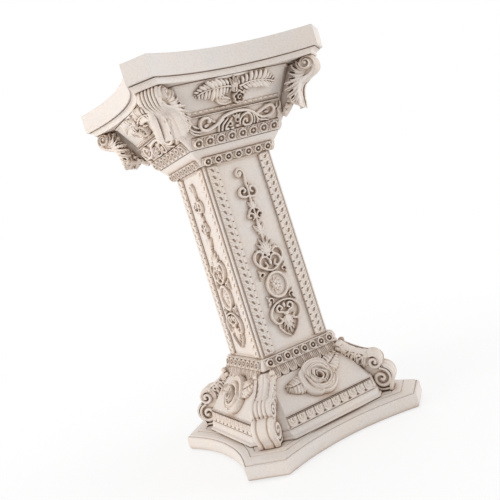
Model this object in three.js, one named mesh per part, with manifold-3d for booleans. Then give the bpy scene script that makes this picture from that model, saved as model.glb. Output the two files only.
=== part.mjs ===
// Pedestal column stand, 300 mm tall: a classical square column cast in resin. The courses are
// threaded on the square core of the shaft, and cast ornaments are bonded to their faces.
// Millimetres, +Z up, origin on the floor at the middle of the foot. The front face looks to -Y.
import * as THREE from 'three';
import { mergeVertices } from 'three/addons/utils/BufferGeometryUtils.js';
import Module from 'manifold-3d';

const wasm = await Module();
wasm.setup();

// ---------------------------------------------------------------- driving dimensions
// Heights of the courses, from the floor up.
const PAD_PROUD = 1;
const PLINTH_HEIGHT = 14.5;
const STEP_HEIGHT = 7;
const FRIEZE_HEIGHT = 9;
const DIE_HEIGHT = 23.5;
const TONGUE_HEIGHT = 7;
const COLLAR_HEIGHT = 8.5;
const SHAFT_HEIGHT = 153;
const NECK_COIN_HEIGHT = 6.5;
const NECK_FILLET_HEIGHT = 6;
const CAP_COIN_HEIGHT = 8.5;
const SCROLL_FRIEZE_HEIGHT = 12.5;
const CABLE_HEIGHT = 4.5;
const PLUME_FRIEZE_HEIGHT = 18.5;
const MOULD_HEIGHT = 4.6;
const SLAB_HEIGHT = 15.4;

// Half widths: the shaft, and how far each course steps or flares out from the one before it.
const SHAFT_TOP_HALF = 30;
const SHAFT_FOOT_HALF = 31;
const COLLAR_LIP = 2;
const COLLAR_FLARE = 2.6;
const TONGUE_FLARE = 3.6;
const DIE_FLARE = 19;
const FRIEZE_FLARE = 1.6;
const STEP_FLARE = 5;
const PLINTH_REACH = 17.5;
const NECK_COIN_LIP = 2;
const NECK_COIN_FLARE = 3;
const NECK_FILLET_FLARE = 4;
const CAP_COIN_FLARE = 5;
const SCROLL_FRIEZE_FLARE = 5;
const CABLE_FLARE = 1.8;
const PLUME_FRIEZE_FLARE = 11.2;
const ABACUS_REACH = 19;

// Plans: canted corners and hollowed sides.
const ABACUS_CANT = 14.5;
const ABACUS_SAG = 14.5;
const PLINTH_CANT = 22;
const PLINTH_SAG = 11.5;
const CAPITAL_CANT_TOP = 15;
const CAPITAL_CANT_MID = 9;
const CAPITAL_CANT_FOOT = 1.6;
const TONGUE_CANT = 5;
const DIE_CANT = 19;
const STEP_CANT = 25.5;
const EDGE_CANT = 1.2;

// Walls, seats and clearances.
const BOND = 0.3;
const CORE_HALF = 13.7;
const CORE_CHAMFER = 1;
const CORE_SEAT = 8;
const PANEL_DEPTH = 0.9;
const BORDER_WIDTH = 7.4;
const BORDER_MARGIN = 1.8;
const BORDER_RISE = 1.3;
const BEAD_WIDTH = 1.5;
const BEAD_GROOVE = 0.5;
const CABLE_RISE = 1.6;
const FRIEZE_RISE = 2.2;
const TONGUE_SET = 1.4;
const TONGUE_RISE = 1.2;
const TONGUES_PER_SIDE = 9;
const FRIEZE_TONGUES = 9;
const PAD_RADIUS = 8;
const PAD_THICKNESS = 2;

// Corner brackets: the scroll consoles of the base and the leaf volutes of the capital.
const CONSOLE_FACE_WIDTH = 17;
const CONSOLE_UPPER_RADIUS = 8;
const CONSOLE_LOWER_RADIUS = 9;
const CONSOLE_UPPER_PROUD = 10.8;
const CONSOLE_LOWER_PROUD = 15.8;
const CONSOLE_UPPER_RISE = 10;
const CONSOLE_LOWER_RISE = 13.4;
const CONSOLE_LEAF_PROUD = 5.8;
const CONSOLE_DRAFT = 0.02;
const VOLUTE_FACE_WIDTH = 15;
const VOLUTE_RADIUS = 8.4;
const VOLUTE_DROP = 6.2;
const VOLUTE_PROUD = 22;
const VOLUTE_EYE_RADIUS = 5;
const VOLUTE_TAIL_PROUD = 13.5;
const VOLUTE_DRAFT = 0.012;
const RIB_COUNT = 4;
const RIB_RISE = 0.9;

// Roses on the die, and the low reliefs.
const ROSE_RADIUS = 15.3;
const ROSE_RISE = 8.6;
const ROSE_LEAF_LENGTH = 22;
const ROSE_LEAF_WIDTH = 14;
const ROSE_LEAF_RISE = 2.8;
const RELIEF_RISE = 2.6;
const SCROLL_RADIUS = 6.2;
const BALL_RADIUS = 3.4;
const PALMETTE_LENGTH = 16;
const MEDALLION_HALF_WIDTH = 9.6;
const MEDALLION_HALF_HEIGHT = 11.4;
const PLUME_LENGTH = 36;
const PLUME_WIDTH = 13;
const PLUME_RISE = 3.4;
const ROSETTE_RADIUS = 5;

// ---------------------------------------------------------------- derived levels
const SIDES = 4;
const UP = new THREE.Vector3(0, 0, 1);
const ROOT2 = Math.SQRT2;

const zPlinth = PAD_PROUD;
const zStep = zPlinth + PLINTH_HEIGHT;
const zFrieze = zStep + STEP_HEIGHT;
const zDie = zFrieze + FRIEZE_HEIGHT;
const zTongue = zDie + DIE_HEIGHT;
const zCollar = zTongue + TONGUE_HEIGHT;
const zShaft = zCollar + COLLAR_HEIGHT;
const zNeck = zShaft + SHAFT_HEIGHT;
const zNeckFillet = zNeck + NECK_COIN_HEIGHT;
const zCapital = zNeckFillet + NECK_FILLET_HEIGHT;
const zScroll = zCapital + CAP_COIN_HEIGHT;
const zCable = zScroll + SCROLL_FRIEZE_HEIGHT;
const zPlume = zCable + CABLE_HEIGHT;
const zMould = zPlume + PLUME_FRIEZE_HEIGHT;
const zSlab = zMould + MOULD_HEIGHT;
const zTop = zSlab + SLAB_HEIGHT;
const zCoreFoot = zStep - CORE_SEAT;
const zCoreHead = zMould + CORE_SEAT;

const hCollarTop = SHAFT_FOOT_HALF + COLLAR_LIP;
const hCollarFoot = hCollarTop + COLLAR_FLARE;
const hTongueFoot = hCollarFoot + TONGUE_FLARE;
const hDieFoot = hTongueFoot + DIE_FLARE;
const hFriezeFoot = hDieFoot + FRIEZE_FLARE;
const hStepFoot = hFriezeFoot + STEP_FLARE;
const hPlinth = hStepFoot + PLINTH_REACH;
const hNeckFoot = SHAFT_TOP_HALF + NECK_COIN_LIP;
const hNeckFillet = hNeckFoot + NECK_COIN_FLARE;
const hCapital = hNeckFillet + NECK_FILLET_FLARE;
const hScroll = hCapital + CAP_COIN_FLARE;
const hCable = hScroll + SCROLL_FRIEZE_FLARE;
const hPlume = hCable + CABLE_FLARE;
const hMould = hPlume + PLUME_FRIEZE_FLARE;
const hAbacus = hMould + ABACUS_REACH;

// Edges of the courses that the corner brackets lie against.
const dieFoot = { half: hDieFoot, cant: DIE_CANT, z: zDie };
const dieHead = { half: hTongueFoot, cant: TONGUE_CANT, z: zTongue };
const tongueHead = { half: hCollarFoot, cant: TONGUE_CANT, z: zCollar };
const scrollFoot = { half: hScroll, cant: CAPITAL_CANT_FOOT, z: zScroll };
const cableFoot = { half: hCable, cant: CAPITAL_CANT_MID, z: zCable };
const plumeFoot = { half: hPlume, cant: CAPITAL_CANT_MID, z: zPlume };
const plumeHead = { half: hMould, cant: CAPITAL_CANT_TOP, z: zMould };

// ---------------------------------------------------------------- finishes
const resin = { color: 0xe2dad2, roughness: 0.72, metalness: 0 };
const resinRelief = { color: 0xdccfc2, roughness: 0.76, metalness: 0 };
const felt = { color: 0x4a4038, roughness: 0.95, metalness: 0 };

const stand = new THREE.Group();

// Adds a named piece to a parent group.
function piece(name, geometry, finish, parent = stand) {
  const flat = geometry.index ? geometry.toNonIndexed() : geometry;
  flat.computeVertexNormals();
  const mesh = new THREE.Mesh(flat, new THREE.MeshStandardMaterial(finish));
  mesh.name = name;
  parent.add(mesh);
  return mesh;
}

// ---------------------------------------------------------------- solids
function welded(geometry) {
  const bare = geometry.clone();
  for (const key of Object.keys(bare.attributes)) {
    if (key !== 'position') bare.deleteAttribute(key);
  }
  return mergeVertices(bare, 1e-4);
}

function solidOf(geometry) {
  const bare = welded(geometry);
  const vertProperties = new Float32Array(bare.attributes.position.array);
  const triVerts = new Uint32Array(bare.index.array);
  return new wasm.Manifold(new wasm.Mesh({ numProp: 3, vertProperties, triVerts }));
}

function geometryOf(solid) {
  const mesh = solid.getMesh();
  const geometry = new THREE.BufferGeometry();
  geometry.setAttribute('position', new THREE.BufferAttribute(mesh.vertProperties, 3));
  geometry.setIndex(new THREE.BufferAttribute(mesh.triVerts, 1));
  return geometry;
}

function join(...geometries) {
  return geometryOf(geometries.map(solidOf).reduce((sum, next) => sum.add(next)));
}

function cut(body, ...tools) {
  return geometryOf(tools.map(solidOf).reduce((rest, tool) => rest.subtract(tool), solidOf(body)));
}

// ---------------------------------------------------------------- lofts
function arcInset(along, reach, sag) {
  if (sag <= 0) return 0;
  const radius = (reach * reach + sag * sag) / (2 * sag);
  return Math.sqrt(radius * radius - along * along) - (radius - sag);
}

// One level of a square plan with canted corners and sides hollowed by a circular arc.
function planLoop({ half, cant, sag = 0, z }, steps = 1) {
  const reach = half - cant;
  const loop = [];
  for (let side = 0; side < SIDES; side += 1) {
    for (let i = 0; i <= steps; i += 1) {
      const along = reach * ((2 * i) / steps - 1);
      const point = new THREE.Vector3(along, arcInset(along, reach, sag) - half, z);
      loop.push(point.applyAxisAngle(UP, (side * Math.PI) / 2));
    }
  }
  return loop;
}

// One level of the square core, or with a clearance one of the holes that it fills.
function coreLoop(z, clearance = 0) {
  return planLoop({ half: CORE_HALF + clearance, cant: CORE_CHAMFER, z });
}

function bandIndex(low, high, count) {
  const index = [];
  for (let i = 0; i < count; i += 1) {
    const j = (i + 1) % count;
    index.push(low + i, low + j, high + j, low + i, high + j, high + i);
  }
  return index;
}

function geometryFrom(points, index) {
  const geometry = new THREE.BufferGeometry();
  geometry.setFromPoints(points);
  geometry.setIndex(index);
  return geometry;
}

// A solid through level loops from the bottom up, with a flat face at each end.
function loft(loops) {
  const count = loops[0].length;
  const index = [];
  for (let row = 0; row + 1 < loops.length; row += 1) {
    index.push(...bandIndex(row * count, (row + 1) * count, count));
  }
  const last = (loops.length - 1) * count;
  const flat = (loop) => THREE.ShapeUtils.triangulateShape(loop.map((p) => new THREE.Vector2(p.x, p.y)), []);
  for (const [a, b, c] of flat(loops[0])) index.push(c, b, a);
  for (const [a, b, c] of flat(loops[loops.length - 1])) index.push(last + a, last + b, last + c);
  return geometryFrom(loops.flat(), index);
}

// A ring: loops go up the outside and down the inside, and the last meets the first.
function ring(loops) {
  const count = loops[0].length;
  const index = [];
  for (let row = 0; row < loops.length; row += 1) {
    index.push(...bandIndex(row * count, ((row + 1) % loops.length) * count, count));
  }
  return geometryFrom(loops.flat(), index);
}

// A solid through small convex sections, closed with a fan at each end.
function tube(sections) {
  const count = sections[0].length;
  const index = [];
  for (let row = 0; row + 1 < sections.length; row += 1) {
    index.push(...bandIndex(row * count, (row + 1) * count, count));
  }
  const last = (sections.length - 1) * count;
  for (let i = 1; i + 1 < count; i += 1) {
    index.push(0, i + 1, i);
    index.push(last, last + i, last + i + 1);
  }
  return outward(geometryFrom(sections.flat(), index));
}

// A closed shell between two grids of points, grid[row][column].
function shell(top, bottom) {
  const rows = top.length;
  const columns = top[0].length;
  const points = [...top.flat(), ...bottom.flat()];
  const at = (side, row, column) => side * rows * columns + row * columns + column;
  const index = [];
  const quad = (a, b, c, d) => index.push(a, b, c, a, c, d);
  for (let r = 0; r + 1 < rows; r += 1) {
    for (let c = 0; c + 1 < columns; c += 1) {
      quad(at(0, r, c), at(0, r, c + 1), at(0, r + 1, c + 1), at(0, r + 1, c));
      quad(at(1, r, c), at(1, r + 1, c), at(1, r + 1, c + 1), at(1, r, c + 1));
    }
    quad(at(0, r, 0), at(0, r + 1, 0), at(1, r + 1, 0), at(1, r, 0));
    quad(at(0, r + 1, columns - 1), at(0, r, columns - 1), at(1, r, columns - 1), at(1, r + 1, columns - 1));
  }
  for (let c = 0; c + 1 < columns; c += 1) {
    quad(at(0, 0, c + 1), at(0, 0, c), at(1, 0, c), at(1, 0, c + 1));
    quad(at(0, rows - 1, c), at(0, rows - 1, c + 1), at(1, rows - 1, c + 1), at(1, rows - 1, c));
  }
  return outward(geometryFrom(points, index));
}

// Turns a closed surface the right way round when its faces point in.
function outward(geometry) {
  const p = geometry.attributes.position;
  const order = geometry.index.array;
  const [a, b, c] = [new THREE.Vector3(), new THREE.Vector3(), new THREE.Vector3()];
  let volume = 0;
  for (let i = 0; i < order.length; i += 3) {
    a.fromBufferAttribute(p, order[i]);
    b.fromBufferAttribute(p, order[i + 1]);
    c.fromBufferAttribute(p, order[i + 2]);
    volume += a.dot(b.cross(c));
  }
  if (volume >= 0) return geometry;
  const turned = [];
  for (let i = 0; i < order.length; i += 3) turned.push(order[i], order[i + 2], order[i + 1]);
  geometry.setIndex(turned);
  return geometry;
}

// ---------------------------------------------------------------- relief work on a face
// A spiral in the plane of a face, from one radius and angle to another.
class Spiral extends THREE.Curve {
  constructor(centre, radii, angles) {
    super();
    this.centre = centre;
    this.radii = radii;
    this.angles = angles;
  }

  getPoint(t, target = new THREE.Vector3()) {
    const radius = THREE.MathUtils.lerp(this.radii[0], this.radii[1], t);
    const angle = THREE.MathUtils.lerp(this.angles[0], this.angles[1], t);
    const [x, y] = this.centre;
    return target.set(x + radius * Math.cos(angle), y + radius * Math.sin(angle), 0);
  }
}

// A ridged strand that follows a plane curve, thinning towards both ends.
function strand(curve, { width, rise, steps, tip = 0.35, base = 0 }) {
  const sections = [];
  for (let i = 0; i <= steps; i += 1) {
    const t = i / steps;
    const swell = tip + (1 - tip) * Math.sin(Math.PI * Math.min(1, Math.max(0, 0.08 + 0.84 * t)));
    const centre = curve.getPoint(t);
    const tangent = curve.getTangent(t);
    const across = new THREE.Vector3(-tangent.y, tangent.x, 0).multiplyScalar((width / 2) * swell);
    const crest = base + rise * (0.5 + 0.5 * swell);
    sections.push([
      centre.clone().add(across).setZ(0),
      centre.clone().setZ(crest),
      centre.clone().sub(across).setZ(0),
    ]);
  }
  return tube(sections);
}

function curveThrough(...points) {
  return new THREE.CatmullRomCurve3(points.map(([x, y]) => new THREE.Vector3(x, y, 0)));
}

// A low dome with an oval foot.
function dome([x, y], [halfWidth, halfHeight], rise, sides = 8) {
  const oval = (scale, z) => Array.from({ length: sides }, (_, i) => {
    const angle = (2 * Math.PI * i) / sides;
    return new THREE.Vector3(
      x + halfWidth * scale * Math.cos(angle), y + halfHeight * scale * Math.sin(angle), z);
  });
  const tall = rise > RELIEF_RISE;
  return loft(tall ? [oval(1, 0), oval(0.9, 0.55 * rise), oval(0.45, rise)] : [oval(1, 0), oval(0.6, rise)]);
}

// The oval medallion: a raised rim round a sunk field with a boss in its middle.
function medallion(y, sides = 12) {
  const oval = (scale, z) => Array.from({ length: sides }, (_, i) => {
    const angle = (2 * Math.PI * i) / sides;
    return new THREE.Vector3(
      MEDALLION_HALF_WIDTH * scale * Math.cos(angle), y + MEDALLION_HALF_HEIGHT * scale * Math.sin(angle), z);
  });
  return loft([oval(1, 0), oval(0.92, RELIEF_RISE), oval(0.82, RELIEF_RISE), oval(0.72, 0.4 * RELIEF_RISE),
    oval(0.5, 0.4 * RELIEF_RISE), oval(0.3, RELIEF_RISE)]);
}

// A leaf with a raised midrib and a notched edge; it grows from the origin along +X.
function leaf({ length, width, rise, lobes = 4, bend = 0, edge = 0.6 }) {
  const rows = 2 * lobes + 1;
  const across = [-1, 0, 1];
  const surface = (lift) => Array.from({ length: rows }, (_, r) => {
    const t = r / (rows - 1);
    const notch = r % 2 === 1 ? 1 : 0.8;
    const half = (width / 2) * Math.max(0.12, notch * Math.sin(Math.PI * Math.pow(0.06 + 0.9 * t, 0.8)));
    const sway = bend * length * t * t;
    return across.map((side) => {
      const height = side === 0 ? rise * (1 - 0.5 * t * t) : edge;
      return new THREE.Vector3(length * t, sway + side * half, lift ? height : 0);
    });
  });
  return shell(surface(true), surface(false));
}

function moved(geometry, { x = 0, y = 0, z = 0, turn = 0, scale = 1, flip = false }) {
  const matrix = new THREE.Matrix4().makeRotationZ(turn);
  if (flip) matrix.premultiply(new THREE.Matrix4().makeScale(-1, 1, 1));
  matrix.premultiply(new THREE.Matrix4().makeScale(scale, scale, 1));
  matrix.premultiply(new THREE.Matrix4().makeTranslation(x, y, z));
  const copy = geometry.clone().applyMatrix4(matrix);
  return flip ? outward(welded(copy)) : copy;
}

function pair(geometry) {
  return [geometry, moved(geometry, { flip: true })];
}

// A frame on a sloping face: X across, Y up the slope, Z out of the face.
function faceFrame(side, lowHalf, lowZ, highHalf, highZ, proud = BOND) {
  const lean = Math.atan2(highHalf - lowHalf, highZ - lowZ);
  const turned = new THREE.Group();
  turned.rotation.z = (side * Math.PI) / 2;
  const face = new THREE.Group();
  face.rotation.x = Math.PI / 2 + lean;
  face.position.set(0, -lowHalf, lowZ);
  face.translateZ(proud);
  turned.add(face);
  stand.add(turned);
  return face;
}

const slope = (lowHalf, lowZ, highHalf, highZ) => Math.hypot(highHalf - lowHalf, highZ - lowZ);

// A frame at a corner: X out along the diagonal, Y up, Z across.
function cornerFrame(corner) {
  const turned = new THREE.Group();
  turned.rotation.z = Math.PI / 4 + (corner * Math.PI) / 2 - Math.PI;
  const upright = new THREE.Group();
  upright.rotation.x = Math.PI / 2;
  turned.add(upright);
  stand.add(turned);
  return upright;
}

const SIDE_NAMES = ['front', 'right', 'back', 'left'];
const CORNER_NAMES = ['front_left', 'front_right', 'back_right', 'back_left'];

// Distance from the axis to the middle of a canted corner.
const cantReach = ({ half, cant }) => (half - cant / 2) * ROOT2;

// Where a bracket's back lies, just clear of the canted corner between two edges of a course.
function seatBetween(low, high, z) {
  const t = (z - low.z) / (high.z - low.z);
  return THREE.MathUtils.lerp(cantReach(low), cantReach(high), t) + 2 * BOND;
}

// ---------------------------------------------------------------- castings
const HOLLOW_STEPS = 6;

function plinth() {
  const level = (inset, cantCut, sag, z) => planLoop(
    { half: hPlinth - inset, cant: PLINTH_CANT - cantCut, sag, z }, HOLLOW_STEPS);
  const reach = PLINTH_REACH;
  const top = zStep - BOND;
  const sag = PLINTH_SAG;
  const body = loft([
    level(1.4, 0.6, sag, zPlinth),
    level(0, 0, sag, zPlinth + 1.6),
    level(0, 0, sag, top - 3.6),
    level(1.1, 0.5, sag, top - 2.6),
    level(3.2, 1.5, sag * 0.95, top - 2.4),
    level(0.5 * reach, 3.6, sag * 0.6, top - 0.9),
    level(0.92 * reach, 6.4, sag * 0.12, top),
  ]);
  const seat = loft([coreLoop(zCoreFoot - BOND, BOND), coreLoop(zStep, BOND)]);
  return cut(body, seat, ...padSeats());
}

function padPositions() {
  const reach = (cantReach({ half: hPlinth, cant: PLINTH_CANT }) - 2.2 * PAD_RADIUS) / ROOT2;
  return [[-1, -1], [1, -1], [1, 1], [-1, 1]].map(([x, y]) => [x * reach, y * reach]);
}

function disc(radius, height, [x, y], z) {
  const geometry = new THREE.CylinderGeometry(radius, radius, height, 14);
  geometry.rotateX(Math.PI / 2);
  geometry.translate(x, y, z + height / 2);
  return geometry;
}

function padSeats() {
  const depth = PAD_THICKNESS + BOND;
  return padPositions().map((at) => disc(PAD_RADIUS + BOND, depth + 1, at, -1));
}

// A course through square levels from the bottom up, with a hole for the core.
function course(levels) {
  const low = levels[0].z;
  const high = levels[levels.length - 1].z;
  return ring([...levels.map((level) => planLoop(level)), coreLoop(high, BOND), coreLoop(low, BOND)]);
}

// The flaring base casting: plain step, frieze course and sloping die.
function die() {
  const riser = 1.2;
  const lip = 2.2;
  return course([
    { half: hStepFoot, cant: STEP_CANT, z: zStep },
    { half: hStepFoot, cant: STEP_CANT, z: zStep + riser },
    { half: hStepFoot - lip, cant: STEP_CANT - lip, z: zStep + 2 * riser },
    { half: hFriezeFoot, cant: DIE_CANT, z: zFrieze },
    dieFoot,
    { ...dieHead, z: zTongue - BOND },
  ]);
}

function tongueRing() {
  const low = { half: hTongueFoot - TONGUE_SET, cant: TONGUE_CANT - 1, z: zTongue };
  const high = { half: hCollarFoot - TONGUE_SET, cant: TONGUE_CANT - 1, z: zCollar - BOND };
  return join(course([low, high]), ...sideRow(TONGUES_PER_SIDE, tongueShape, low, high));
}

// A rounded tongue hanging from the top of its course; local X across, Y up, Z out.
function tongueShape(pitch, height) {
  const half = 0.42 * pitch;
  const root = 0.3;
  const head = height - 0.8;
  const shape = new THREE.Shape();
  shape.moveTo(half, head);
  shape.lineTo(-half, head);
  shape.lineTo(-half, half + 0.2);
  shape.absarc(0, half + 0.2, half, Math.PI, 2 * Math.PI, false);
  const options = { depth: TONGUE_RISE + root, bevelEnabled: false, curveSegments: 1 };
  return new THREE.ExtrudeGeometry(shape, options).translate(0, 0, -root);
}

// Repeats a shape along all four sides of a sloping course, between the canted corners.
function sideRow(count, shapeOf, low, high) {
  const clear = high.half - high.cant - 1;
  const pitch = (2 * clear) / count;
  const height = slope(low.half, low.z, high.half, high.z);
  const lean = Math.atan2(high.half - low.half, high.z - low.z);
  const copies = [];
  for (let side = 0; side < SIDES; side += 1) {
    for (let i = 0; i < count; i += 1) {
      const copy = shapeOf(pitch, height);
      copy.translate((i + 0.5) * pitch - clear, 0, 0);
      copy.rotateX(Math.PI / 2 + lean);
      copy.translate(0, -low.half, low.z);
      copy.rotateZ((side * Math.PI) / 2);
      copies.push(copy);
    }
  }
  return copies;
}

function collar() {
  const lip = 0.4;
  return course([
    { half: hCollarFoot, cant: EDGE_CANT, z: zCollar },
    { half: hCollarTop + lip, cant: EDGE_CANT, z: zShaft - BOND - 1 },
    { half: hCollarTop, cant: EDGE_CANT, z: zShaft - BOND },
  ]);
}

function neck() {
  const lip = 0.6;
  return course([
    { half: hNeckFoot, cant: EDGE_CANT, z: zNeck + BOND },
    { half: hNeckFillet - lip, cant: EDGE_CANT, z: zNeckFillet - 0.4 },
    { half: hNeckFillet, cant: EDGE_CANT, z: zNeckFillet },
    { half: hCapital, cant: EDGE_CANT, z: zCapital - BOND },
  ]);
}

// The square shaft: corner beads, sunk panels, and the core that every other course is threaded on.
function shaft() {
  const body = loft([beadedSquare(SHAFT_FOOT_HALF, zShaft), beadedSquare(SHAFT_TOP_HALF, zNeck)]);
  const core = loft([coreLoop(zCoreFoot), coreLoop(zCoreHead)]);
  return cut(join(body, core), ...panels());
}

// A square section whose corners carry a slim bead between two fine grooves.
function beadedSquare(half, z) {
  const edge = BEAD_WIDTH + BEAD_GROOVE;
  const corner = [
    [half - edge - BEAD_GROOVE, -half], [half - edge, BEAD_GROOVE - half],
    [half - BEAD_WIDTH, -half], [half - 0.4, 0.1 - half], [half - 0.1, 0.4 - half],
    [half, BEAD_WIDTH - half], [half - BEAD_GROOVE, edge - half], [half, edge + BEAD_GROOVE - half],
  ];
  const loop = [];
  for (let side = 0; side < SIDES; side += 1) {
    const turn = (side * Math.PI) / 2;
    for (const [x, y] of corner) loop.push(new THREE.Vector3(x, y, z).applyAxisAngle(UP, turn));
  }
  return loop;
}

// How far a panel reaches from the middle of a face to the inner edge of its leaf border.
const borderInner = (half) => half - BORDER_MARGIN - BEAD_WIDTH - BORDER_WIDTH;

// Sunk panels between the leaf borders, one on each face.
function panels() {
  const tools = [];
  const reach = (half) => borderInner(half) + 0.4;
  const tool = (half, z, out) => [
    new THREE.Vector3(-reach(half), PANEL_DEPTH - half, z), new THREE.Vector3(-reach(half), -half - out, z),
    new THREE.Vector3(reach(half), -half - out, z), new THREE.Vector3(reach(half), PANEL_DEPTH - half, z),
  ];
  for (let side = 0; side < SIDES; side += 1) {
    const geometry = loft([tool(SHAFT_FOOT_HALF, zShaft + 1.5, 2), tool(SHAFT_TOP_HALF, zNeck - 1.5, 2)]);
    tools.push(geometry.rotateZ((side * Math.PI) / 2));
  }
  return tools;
}

// The flaring capital casting behind the friezes.
function capital() {
  return course([
    { half: hCapital, cant: CAPITAL_CANT_FOOT, z: zCapital },
    scrollFoot,
    cableFoot,
    plumeFoot,
    { ...plumeHead, z: zMould - BOND },
  ]);
}

// The concave abacus, with a quarter-round under its edge and a seat for the core beneath.
function abacus() {
  const level = (inset, z) => planLoop({
    half: hAbacus - inset, cant: ABACUS_CANT - 0.3 * inset, sag: ABACUS_SAG - 0.2 * inset, z,
  }, HOLLOW_STEPS);
  const body = loft([
    level(4.4, zMould),
    level(3, zMould + 2),
    level(2.2, zSlab - 0.9),
    level(3, zSlab - 0.3),
    level(0.3, zSlab),
    level(0, zSlab + 0.8),
    level(0, zTop - 1),
    level(1, zTop),
  ]);
  return cut(body, loft([coreLoop(zMould - 1, BOND), coreLoop(zCoreHead + BOND, BOND)]));
}

// ---------------------------------------------------------------- ornaments on the faces
// A length of cable moulding: a half-round strip on the course between the friezes.
function cableStrip() {
  const half = hCable - CAPITAL_CANT_MID - 0.5;
  const mid = CABLE_HEIGHT / 2;
  const shoulder = 0.75 * CABLE_RISE;
  const profile = [
    [0, 0.5], [shoulder, 0.9], [CABLE_RISE, mid], [shoulder, CABLE_HEIGHT - 0.9], [0, CABLE_HEIGHT - 0.5],
  ];
  const section = (x) => profile.map(([out, up]) => new THREE.Vector3(x, up, out));
  return tube([section(-half), section(half)]);
}

// The frieze of the base: two fillets with a row of tongues between them.
function friezeStrip() {
  const half = hDieFoot - DIE_CANT - 0.5;
  const height = slope(hFriezeFoot, zFrieze, hDieFoot, zDie);
  const bar = (low, high, out) => {
    const geometry = new THREE.BoxGeometry(2 * half, high - low, out);
    geometry.translate(0, (low + high) / 2, out / 2);
    return geometry;
  };
  const pitch = (2 * half) / FRIEZE_TONGUES;
  const tongues = Array.from({ length: FRIEZE_TONGUES }, (_, i) => {
    const copy = tongueShape(pitch, height - 1.4);
    copy.translate((i + 0.5) * pitch - half, 1.3, 0.6);
    return copy;
  });
  const plate = bar(0.2, height - 0.2, 0.9);
  return join(plate, bar(0.2, 1.3, FRIEZE_RISE), bar(height - 1.5, height - 0.2, FRIEZE_RISE), ...tongues);
}

// One leaf border of the shaft: a strip with chamfered sides and mitred ends.
function borderStrip(length) {
  const half = BORDER_WIDTH / 2;
  const section = (mitre, end) => {
    const slip = (x) => end + mitre * (x + half);
    return [[-half, 0], [-half + 0.8, BORDER_RISE], [half - 0.8, BORDER_RISE], [half, 0]]
      .map(([x, out]) => new THREE.Vector3(x, slip(x), out));
  };
  return tube([section(0.8, 0), section(-0.8, length)]);
}

// The candelabrum ornament of the shaft, one casting from the ball down to the lower palmette.
// Each motif hangs on the stem at its share of the panel's length.
function candelabrum(length) {
  const rise = RELIEF_RISE;
  const up = Math.PI / 2;
  const at = (share) => share * length;
  const scroll = { width: 3, rise, steps: 5 };
  const small = { width: 2.4, rise: 0.8 * rise, steps: 3 };
  const centre = at(0.326);
  const reach = MEDALLION_HALF_HEIGHT + 8;
  const stem = curveThrough([0, at(0.06)], [0, at(0.4)], [0, at(0.91)]);
  const palmette = leaf({ length: PALMETTE_LENGTH, width: 0.8 * PALMETTE_LENGTH, rise, lobes: 2 });
  const bud = leaf({ length: 0.85 * PALMETTE_LENGTH, width: PALMETTE_LENGTH / 2, rise, lobes: 1 });
  const side = [MEDALLION_HALF_WIDTH - 1.4, SCROLL_RADIUS + 2.4];
  const ring = [0.38 * SCROLL_RADIUS, 0.74 * SCROLL_RADIUS];
  const curl = 0.6 * SCROLL_RADIUS;
  return join(
    strand(stem, { width: 2.4, rise: 0.6 * rise, steps: 1, tip: 0.9 }),
    medallion(centre),
    ...pair(strand(new Spiral([SCROLL_RADIUS, centre - reach], [SCROLL_RADIUS, 1.6], [2.6, -2.6]), scroll)),
    ...pair(strand(new Spiral([SCROLL_RADIUS, centre + reach], [SCROLL_RADIUS, 1.6], [-2.6, 2.6]), scroll)),
    ...pair(dome([side[0], centre - reach + side[1]], ring, 0.9 * rise, 6)),
    ...pair(dome([side[0], centre + reach - side[1]], ring, 0.9 * rise, 6)),
    moved(palmette, { y: centre - reach - 0.9 * SCROLL_RADIUS, turn: -up }),
    moved(palmette, { y: centre + reach + 0.8 * SCROLL_RADIUS, turn: up }),
    ...pair(strand(new Spiral([curl, at(0.647)], [curl, 1.2], [-2.7, 1.6]), small)),
    moved(bud, { y: at(0.712), turn: up }),
    ...pair(strand(new Spiral([curl, at(0.82)], [curl, 1.1], [-2.7, 1.6]), small)),
    dome([0, at(0.919)], [BALL_RADIUS, BALL_RADIUS], rise + 0.4, 8),
  );
}

// The plume spray of the capital: two feathers, a bud, a crescent and a rosette.
function plumeSpray(length) {
  const mid = 0.5 * length;
  const rosette = [0.8, 0.27 * length];
  const lift = 0.2;
  const feather = leaf({
    length: PLUME_LENGTH, width: PLUME_WIDTH, rise: PLUME_RISE, lobes: 3, bend: -0.12, edge: 0.4 * PLUME_RISE,
  });
  const reach = 2.6 * ROSETTE_RADIUS;
  const crescent = curveThrough(
    [-0.6 * ROSETTE_RADIUS, 0.42 * length], [-0.75 * reach, 0.44 * length],
    [-reach, 0.28 * length], [-0.8 * reach, 0.12 * length]);
  return join(
    moved(feather, { x: 1.5, y: mid + 0.6, turn: lift }),
    moved(moved(feather, { turn: lift }), { x: -1.5, y: mid + 0.6, flip: true }),
    dome([0, mid + 0.2 * length], [0.15 * length, 0.25 * length], PLUME_RISE + 0.8, 6),
    dome(rosette, [ROSETTE_RADIUS, ROSETTE_RADIUS], PLUME_RISE, 8),
    dome(rosette, [0.5 * ROSETTE_RADIUS, 0.45 * ROSETTE_RADIUS], PLUME_RISE + 1.2, 6),
    strand(crescent, { width: 2.8, rise: PLUME_RISE, steps: 4 }),
  );
}

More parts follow.
